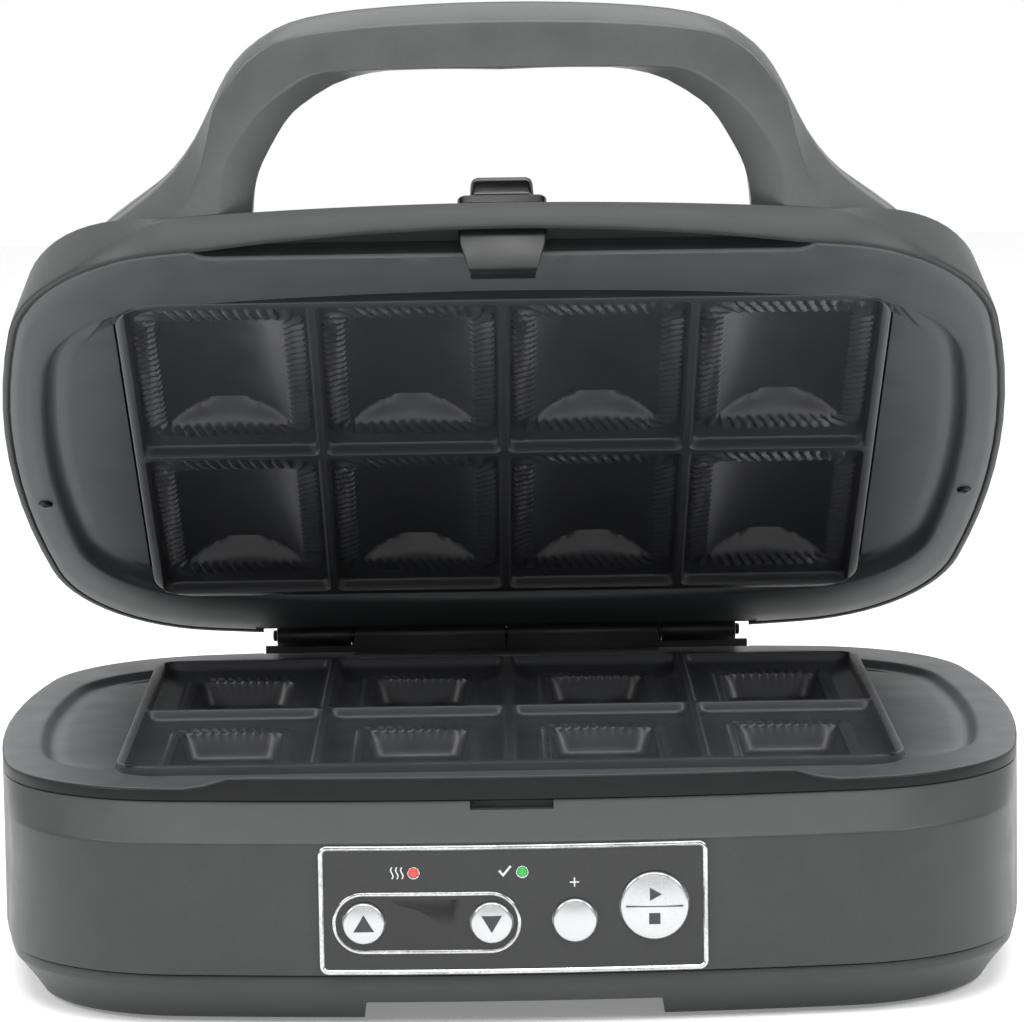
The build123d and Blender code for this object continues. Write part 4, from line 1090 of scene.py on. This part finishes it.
def makeHandle():
    h = handle
    curves = [splinePoints(h[k], h["steps"]) for k in ("outer", "outerCrease", "innerCrease", "inner")]

    def section(o, oc, ic, i, part):
        # one ring across the arch; part "front" ends at the split, part "rear" starts there
        wideO = (o - oc).length
        fallIn = min(1.8 + (ic - i).length * 0.45, 7.0)
        foot = smooth((30 - o.y) / 34)
        split, deep = h["split"] + 7 * foot, h["thickness"] + 14 * foot
        tilt = h["tilt"] * smooth(oc.y / 56)
        fall = min(2.6 + wideO * 0.85, split - 3)
        mid = (o + i) / 2
        toMid = (mid - o).normalized()
        if part == "front":
            return [(ic, 0), (oc, tilt), (o, min(fall + tilt, split - 2)), (o, split - 0.35),
                    (o + toMid * 0.35, split), (i - toMid * 0.35, split), (i, split - 0.35), (i, fallIn)]
        return [(o + toMid * 0.35, split), (o, split + 0.35), (o + toMid * 0.3, split + 2.6),
                (o + toMid * 2.2, deep - 0.7), (o + toMid * 4.4, deep), (i - toMid * 4.4, deep),
                (i - toMid * 2.2, deep - 0.7),
                (i - toMid * 0.3, split + 2.6), (i, split + 0.35), (i - toMid * 0.35, split)]

    # the handle's front part takes the brighter copy of the lacquer: painted light on its face
    for part, name, node, finish in (("front", "lidHandle", "lid_handle", "handleLitPaint"),
                                     ("rear", "handleCover", "handle_cover", "satinBlackAndShade")):
        rings = []
        for o, oc, ic, i in zip(*curves):
            corners = [Vector((p.x, p.y, d)) for p, d in section(o, oc, ic, i, part)]
            rings.append([tuple(p) for p in softCorners(corners, 0.8 if part == "front" else 0.25)])
        mirrored = [[(-x, y, d) for x, y, d in ring] for ring in reversed(rings[:-1])]
        arch = skin(name, rings + mirrored, handlePoint)
        dress(softShade(arch, 40), finish, body="lid", node=node)


def makeHandleScrews():
    # driven up into the legs from inside the lid
    shape = screwShape(2.8, 2.2, 1.5, 7.0)
    shape.data.transform(Matrix.Rotation(math.radians(-135 - pose["openDegrees"]), 4, "X"))
    places = [handlePoint(x, -6.8, 6.5) for x in (-97, -86, 86, 97)]
    screws = onPlaces("handleScrews", shape, "screwSteel", places)
    dress(screws, "screwSteel", body="lid", node="handle_screws")


makeHandle()
makeHandleScrews()
print("handle made")


# Latch: gloss bezel on the lid, a ribbed slider on it, and the tongue that hangs below the lid
latch = {"floor": 87.6, "bezelY": -128.5, "sliderY": -132.65, "tongue": (-137.2, -134.8),
         "tip": 65.4, "shoulder": 83.4, "neckTop": 95.2}


def makeLatch():
    z = latch["floor"]
    bezel = skin("latchBezel", roundedRows((
        (27.4, 22.4, 2.4, z - 0.2), (27.4, 22.4, 2.4, z + 2.0), (26.6, 21.6, 2.2, z + 2.6),
        (21.4, 15.6, 1.8, z + 2.6), (21.0, 15.2, 1.8, z + 2.2)), (4, 5, 4)),
        lambda x, y, h: lidPoint(x, y + latch["bezelY"], h))
    carve(bezel, [boxPiece("toolNeck", -5.6, 5.6, -137.9, -131.2, 80, 95, lidPoint)])
    dress(softShade(bezel), "glossBlack", body="lid", node="latch_bezel")
    top = z + 2.7
    place = lambda x, y, h: lidPoint(x, y + latch["sliderY"], h)
    rings = roundedRows((
        (18.8, 10.7, 1.4, top), (19.5, 11.4, 1.7, top + 0.5), (19.6, 11.5, 1.8, top + 1.2),
        (19.2, 11.2, 1.8, top + 5.2), (18.5, 10.5, 1.8, top + 6.7), (17.2, 9.2, 1.5, top + 7.45),
        (15.6, 7.6, 1.2, top + 7.7)), (6, 5, 6))
    slider = skin("latchSlider", rings, place)
    tools = []
    for row in (-1, 0, 1):
        y = row * 2.4
        profile = ((-0.6, 7.9), (-0.45, 7.15), (0.45, 7.15), (0.6, 7.9))
        groove = [[(x, y + dy, top + h) for dy, h in profile] for x in (-7.2, 7.2)]
        tools.append(skin("toolGroove", groove, place))
    tools.append(boxPiece("toolNeck", -5.0, 5.0, *latch["tongue"], top - 1, top + 4.9, lidPoint))
    carve(slider, tools)
    dress(softShade(slider), "glossBlack", body="latch", node="latch_slider")
    low, deckZ, shoulder, topZ = latch["tip"], lid["low"], latch["shoulder"], latch["neckTop"]
    outline = [(-10.4, low), (10.4, low), (13.0, deckZ), (13.0, shoulder), (5.0, shoulder), (5.0, topZ),
               (-5.0, topZ), (-5.0, shoulder), (-13.0, shoulder), (-13.0, deckZ)]
    tongue = skin("latchTongue", [[(x, y, zed) for x, zed in outline] for y in latch["tongue"]], lidPoint)
    nose = skin("latchNose", [[(x, -134.9, low), (x, -129.6, low + 0.6), (x, -129.6, low + 1.5),
                               (x, -134.9, low + 1.9)]
                              for x in (-10, 10)], lidPoint)
    bevel(tongue, 0.45, 2)
    settle(tongue)
    bevel(nose, 0.25, 2)
    settle(nose)
    hook = joined("latchHook", [tongue, nose])
    dress(softShade(hook), "satinBlackAndShade", body="latch", node="latch_hook")


makeLatch()
print("latch made")


# Hinge: barrels on webs, base barrels inside and the lid's outside them
hinge = {"y": 138.0, "z": 76.5, "radius": 4.0, "base": (0.4, 54.2), "lid": (55.2, 81.5)}
guard = {"gap": 4.6, "wall": 2.0, "low": 57.5, "step": 72.0, "top": 80.0, "ledgeFront": 131.0,
         "ledgeTop": 60.05}


def barrelSection(webZ, soft):
    # a round barrel that runs into an upright web; counter-clockwise in Y and Z
    y, z, r = hinge["y"], hinge["z"], hinge["radius"] - soft
    side = 1 if webZ < z else -1
    points = []
    for i in range(21):
        a = math.pi * i / 20
        points.append((y - r * math.cos(a), z + side * r * math.sin(a)))
    lowY = y - hinge["radius"] + 6 - soft
    points += [(y + r, z - side * 0.5), (y + r * 0.9, z - side * r * 0.42), (lowY, z - side * r * 0.75),
               (lowY, webZ), (y - r, webZ), (y - r, z - side * 0.5)]
    return points


def makeHinge():
    for name, span, webZ, body, place in (("baseBarrels", hinge["base"], 60.0, "base", basePoint),
                                          ("lidBarrels", hinge["lid"], 85.5, "lid", lidPoint)):
        parts = []
        for x0, x1 in (span, (-span[1], -span[0])):
            rings = []
            for x, soft in ((x0, 0.5), (x0 + 0.15, 0.15), (x0 + 0.5, 0.0), (x1 - 0.5, 0.0), (x1 - 0.15, 0.15),
                            (x1, 0.5)):
                rings.append([(x, y, z) for y, z in barrelSection(webZ, soft)])
            parts.append(skin("barrel", rings, place))
        piece = joined(name, parts)
        node = "base_housing" if body == "base" else "lid_shell"
        dress(softShade(piece), "satinBlackAndShade", body=body, node=node)
    # a guard wall behind the barrels, higher behind the base's own
    g = guard
    half, high, near = notch["half"], hinge["base"][1] + 0.2, hinge["y"] + g["gap"]
    low, step, top = g["low"], g["step"], g["top"]
    outline = [(-half, low), (half, low), (half, step), (high, step), (high, top), (-high, top),
               (-high, step), (-half, step)]
    wall = skin("guardWall", [[(x, y, z) for x, z in outline] for y in (near, near + g["wall"])])
    ledge = boxPiece("guardLedge", -half, half, g["ledgeFront"], near + 0.5, low, g["ledgeTop"])
    shield = joined("hingeGuard", [settle(bevel(wall, 0.3)), ledge])
    dress(softShade(shield), "satinBlackAndShade", node="base_housing")
    reach = hinge["lid"][1] + 1.5
    # collars on the pin fill the gaps between the barrels
    near, far = hinge["base"][1] + 0.15, hinge["lid"][0] - 0.15
    arm = [(2.0, near), (3.8, near), (3.8, far), (2.0, far), (2.0, reach - 0.5), (1.7, reach - 0.1),
           (1.0, reach)]
    profile = [(r, -x) for r, x in reversed(arm)] + arm
    pin = turned("hingePin", profile, 32, (0, hinge["y"], hinge["z"]), "x")
    dress(softShade(pin), "darkSteel", node="hinge_pin")


makeHinge()
print("hinge made")


# Fascia: gloss panel on the bow of the front wall, chrome frame, display, lamps and keys
fascia = {"width": 114.0, "height": 36.3, "z": 36.6, "corner": 1.2,
          "pill": (-26.1, 32.7, 56.9, 18.9), "pane": (21.0, 14.4, 0.4), "panel": 0.7, "keyProud": 2.4,
          "lamps": (-29.8, 2.8), "lampZ": 48.0}
keys = {"up": (-45.0, 32.8, 6.3), "down": (-6.6, 32.8, 6.3), "extra": (18.4, 33.1, 6.6),
        "start": (42.3, 37.0, 10.3)}


def frontY(x):
    return plan["endBow"] - plan["front"] - math.sqrt(plan["endBow"]**2 - x * x)


def facePoint(x, z, proud):
    # a point over the front wall's bow
    return basePoint(x, frontY(x) - proud, z)


def pathRing(centreX, centreZ, width, height, radius, grow, steps):
    ring = roundedRing(width + 2 * grow, height + 2 * grow, max(radius + grow, 0.05), steps)
    return [(centreX + x, centreZ + z) for x, z in ring]


def trim(name, path, profile, finish, node, steps=(14, 8, 30)):
    # a closed strip round a path on the fascia; profile: offset from the path and how proud it stands
    rings = [[(x, z, proud) for x, z in pathRing(*path, grow, steps)] for grow, proud in profile]
    piece = skin(name, rings, facePoint, loop=True)
    return dress(softShade(piece, 50), finish, node=node)


def facePatch(name, path, sunk, proud, finish, steps=(6, 6, 30)):
    # a thin plate on the fascia, with a small round at its edge
    rings = []
    for inset, lift in ((0.0, sunk), (0.0, proud - 0.06), (0.02, proud - 0.02), (0.07, proud)):
        rings.append([(x, z, lift) for x, z in pathRing(*path, -inset, steps)])
    piece = skin(name, rings, facePoint)
    return dress(softShade(piece, 50), finish)


def makeFascia():
    f = fascia
    box = (0, f["z"], f["width"], f["height"], f["corner"])
    trim("fasciaFrame", box, [(0.1, -0.2), (0.1, 0.8), (0.3, 0.95), (0.5, 1.25), (0.7, 1.3), (1.0, 1.3),
                              (1.3, 1.15), (1.6, 0.75), (1.6, -0.2)], "chrome", "fascia_frame")
    x, z, w, h = f["pill"]
    pill = (x, z, w, h, h / 2 - 0.01)
    trim("displayRing", pill, [(-1.2, 0.6), (-1.2, 1.0), (-1.05, 1.22), (-0.75, 1.3), (-0.35, 1.3),
                               (-0.1, 1.15), (0.0, 0.9), (0.0, 0.6)], "chrome", "display_ring", (4, 20, 16))
    rings = []
    for side in (-1, 1):
        lampX = f["lamps"][0] if side < 0 else f["lamps"][1]
        profile = [(1.45, -0.6), (1.45, -0.95), (1.6, -1.15), (1.75, -1.2), (1.88, -1.1), (1.9, -0.85),
                   (1.9, -0.6)]
        ringShape = turnedRings(profile, 40, (lampX, frontY(lampX), f["lampZ"]), "y")
        rings.append(skin("lampRing", ringShape, basePoint, loop=True))
        lens = [(1.4, 2.4), (1.4, -0.9), (1.3, -1.12), (1.0, -1.25), (0.5, -1.3)]
        lensShape = turned("lamp", lens, 32, (lampX, frontY(lampX), f["lampZ"]), "y")
        lensShape.name = "heatingLamp" if side < 0 else "readyLamp"
        dress(softShade(lensShape, 60), "redLens" if side < 0 else "greenLens",
              node="heating_lamp" if side < 0 else "ready_lamp")
    both = joined("lampRings", rings)
    dress(softShade(both, 60), "chrome", node="lamp_rings")
    facePatch("liquidCrystal", (x, z, *f["pane"]), 0.85, 0.93, "liquidCrystal")


def flatMark(name, outlines, y, finish, body, thickness=0.09):
    # printed marks: thin plates that stand a hair proud of what they are printed on
    parts = []
    for points in outlines:
        low = [(px, y, pz) for px, pz in points]
        high = [(px, y - thickness, pz) for px, pz in points]
        parts.append(skin("mark", [low, high], basePoint))
    return dress(joined(name, parts), finish, body=body)


def keyFace(title):
    # where the key's face stands, and how deep its dish is
    x, _, radius = keys[title]
    return frontY(x) - fascia["panel"] - fascia["keyProud"], radius * 0.05 + 0.15


def makeKeys():
    for title, (x, z, radius) in keys.items():
        face, rise = keyFace(title)
        profile = [(2.0, 8.5), (2.0, 7.2), (radius + 0.98, 7.2), (radius + 0.98, 6.05), (radius, 6.05),
                   (radius, 1.5)]
        for t in range(7):
            a = math.pi / 2 * t / 6
            profile.append((radius - 0.95 + 0.95 * math.cos(a), rise + 0.95 - 0.95 * math.sin(a)))
        for t in (0.86, 0.7, 0.5, 0.3, 0.12):
            profile.append((radius * t, rise * (t / 0.9)**2))
        cap = turned("keyCap", profile, 72, (x, face, z), "y")
        cap.name = title + "Key"
        dress(softShade(cap, 50), "silver", body=title + "_key", node=title + "_button")
    marks = {}
    marks["up"] = [[(-3.1, -2.3), (3.1, -2.3), (0.0, 2.9)]]
    marks["down"] = [[(-3.1, 2.3), (0.0, -2.9), (3.1, 2.3)]]
    marks["start"] = [
        [(-8.6, -0.16), (8.6, -0.16), (8.6, 0.16), (-8.6, 0.16)],
        [(-1.4, 1.7), (2.2, 3.7), (-1.4, 5.7)],
        [(-1.7, -5.4), (1.7, -5.4), (1.7, -2.0), (-1.7, -2.0)],
    ]
    for title, shapes in marks.items():
        x, z, _ = keys[title]
        face, rise = keyFace(title)
        moved = [[(px + x, pz + z) for px, pz in shape] for shape in shapes]
        flatMark(title + "Mark", moved, face + rise * 0.75 + 0.02, "ink", title + "_key", rise * 0.75 + 0.05)
    # generic signs in place of words: a wave of heat, a tick and a plus
    lampZ = fascia["lampZ"]
    signs = []
    for k in (-1, 0, 1):
        sign = []
        for i in range(9):
            zed = lampZ - 1.8 + 3.6 * i / 8
            sign.append((-34.8 + k * 1.5 + 0.35 * math.sin(2 * math.pi * i / 8), zed))
        left = [(px - 0.2, pz) for px, pz in sign]
        right = [(px + 0.2, pz) for px, pz in reversed(sign)]
        signs.append(left + right)
    signs.append([(-4.4, 48.2), (-3.9, 48.7), (-3.0, 47.5), (-0.9, 50.0), (-0.4, 49.6), (-2.95, 46.5)])
    signs += [[(17.0, 44.35), (19.8, 44.35), (19.8, 44.75), (17.0, 44.75)],
              [(18.2, 43.15), (18.6, 43.15), (18.6, 45.95), (18.2, 45.95)]]
    parts = []
    for points in signs:
        parts.append(skin("sign", [[(px, pz, lift) for px, pz in points] for lift in (0.66, 0.74)],
                          facePoint))
    dress(joined("fasciaSigns", parts), "paleInk")


makeFascia()
makeKeys()
print("fascia made")

for title, finish in {
    "fascia_panel": "panel", "display_window": "window", "cord_gland": "satinBlackAndShade",
    "display_module": "component", "indicator_leds": "component", "control_board": "laminate",
    "power_board": "laminate", "board_screws": "screwSteel", "lower_plate_screws": "screwSteel",
    "upper_plate_screws": "screwSteel", "tact_switches": "component", "relay": "component",
    "capacitor": "component", "lower_element": "element", "upper_element": "element",
    "element_clips": "sheet", "lower_heat_shield": "sheet", "upper_heat_shield": "sheet",
    "lower_thermostat": "sheet", "upper_thermostat": "sheet", "thermal_fuse": "sheet",
}.items():
    nodes[title].data.materials.clear()
    nodes[title].data.materials.append(finishes[finish])
print("inner parts dressed")


# Stage: pale floor, soft light from above, the front and both sides
room = {"front": 0.2, "back": 1.0, "turn": (0.3, 0.85)}
lights = {
    "topSoftbox": ((0.0, 0.2, 1.7), (1.8, 1.0), 16),
    "frontSoftbox": ((0.0, -0.7, 1.2), (1.2, 0.3), 9),
    "leftSoftbox": ((-1.4, -0.9, 1.15), (0.6, 0.7), 13),
    "rightSoftbox": ((1.4, -0.9, 1.15), (0.6, 0.7), 13),
    "cameraSoftbox": ((0.0, -2.0, 0.42), (0.7, 0.12), 1.6),
}


def makeStage():
    bm = bmesh.new()
    for x, y in ((-3, -3), (3, -3), (3, 3), (-3, 3)):
        bm.verts.new((x, y, 0))
    bm.faces.new(bm.verts)
    floor = meshPiece("floor", bm)
    finish, tree, surface = newFinish("paleFloor", {"Roughness": 0.9, "Emission Color": linear("#ffffff"),
                                                    "Emission Strength": 0.22})
    shade = blendColours(tree, spread(tree, grain(tree, 60.0), 0.0, 1.0), "#f2f2f2", "#f5f5f5")
    tree.links.new(shade, surface.inputs["Base Color"])
    floor.data.materials.append(finish)


def softLight(name, place, aim, size, power):
    data = bpy.data.lights.new(name, "AREA")
    data.shape = "RECTANGLE"
    data.size, data.size_y = size
    data.energy = power
    lamp = bpy.data.objects.new(name, data)
    lamp.location = place
    lamp.rotation_euler = (Vector(aim) - Vector(place)).to_track_quat("-Z", "Y").to_euler()
    bpy.context.scene.collection.objects.link(lamp)


def makeRoom():
    # brighter behind and above the object than in front of it
    world = bpy.data.worlds.new("paleRoom")
    world.use_nodes = True
    tree = world.node_tree
    tree.nodes.clear()
    way = addNode(tree, "ShaderNodeTexCoord").outputs["Generated"]
    toward = addNode(tree, "ShaderNodeVectorMath", {0: way, 1: (0.0, 1.0, 1.2)}, operation="DOT_PRODUCT")
    reach = {"Value": toward.outputs["Value"], "From Min": room["turn"][0], "From Max": room["turn"][1],
             "To Min": room["front"], "To Max": room["back"]}
    power = addNode(tree, "ShaderNodeMapRange", reach, interpolation_type="SMOOTHSTEP").outputs["Result"]
    sky = addNode(tree, "ShaderNodeBackground", {"Color": linear("#ffffff"), "Strength": power})
    addNode(tree, "ShaderNodeOutputWorld", {"Surface": sky.outputs["Background"]})
    bpy.context.scene.world = world


makeStage()
makeRoom()
for title, (place, size, power) in lights.items():
    softLight(title, place, (0, 0, 0.1), size, power)
bpy.context.scene.view_settings.view_transform = "Standard"
print("stage set")
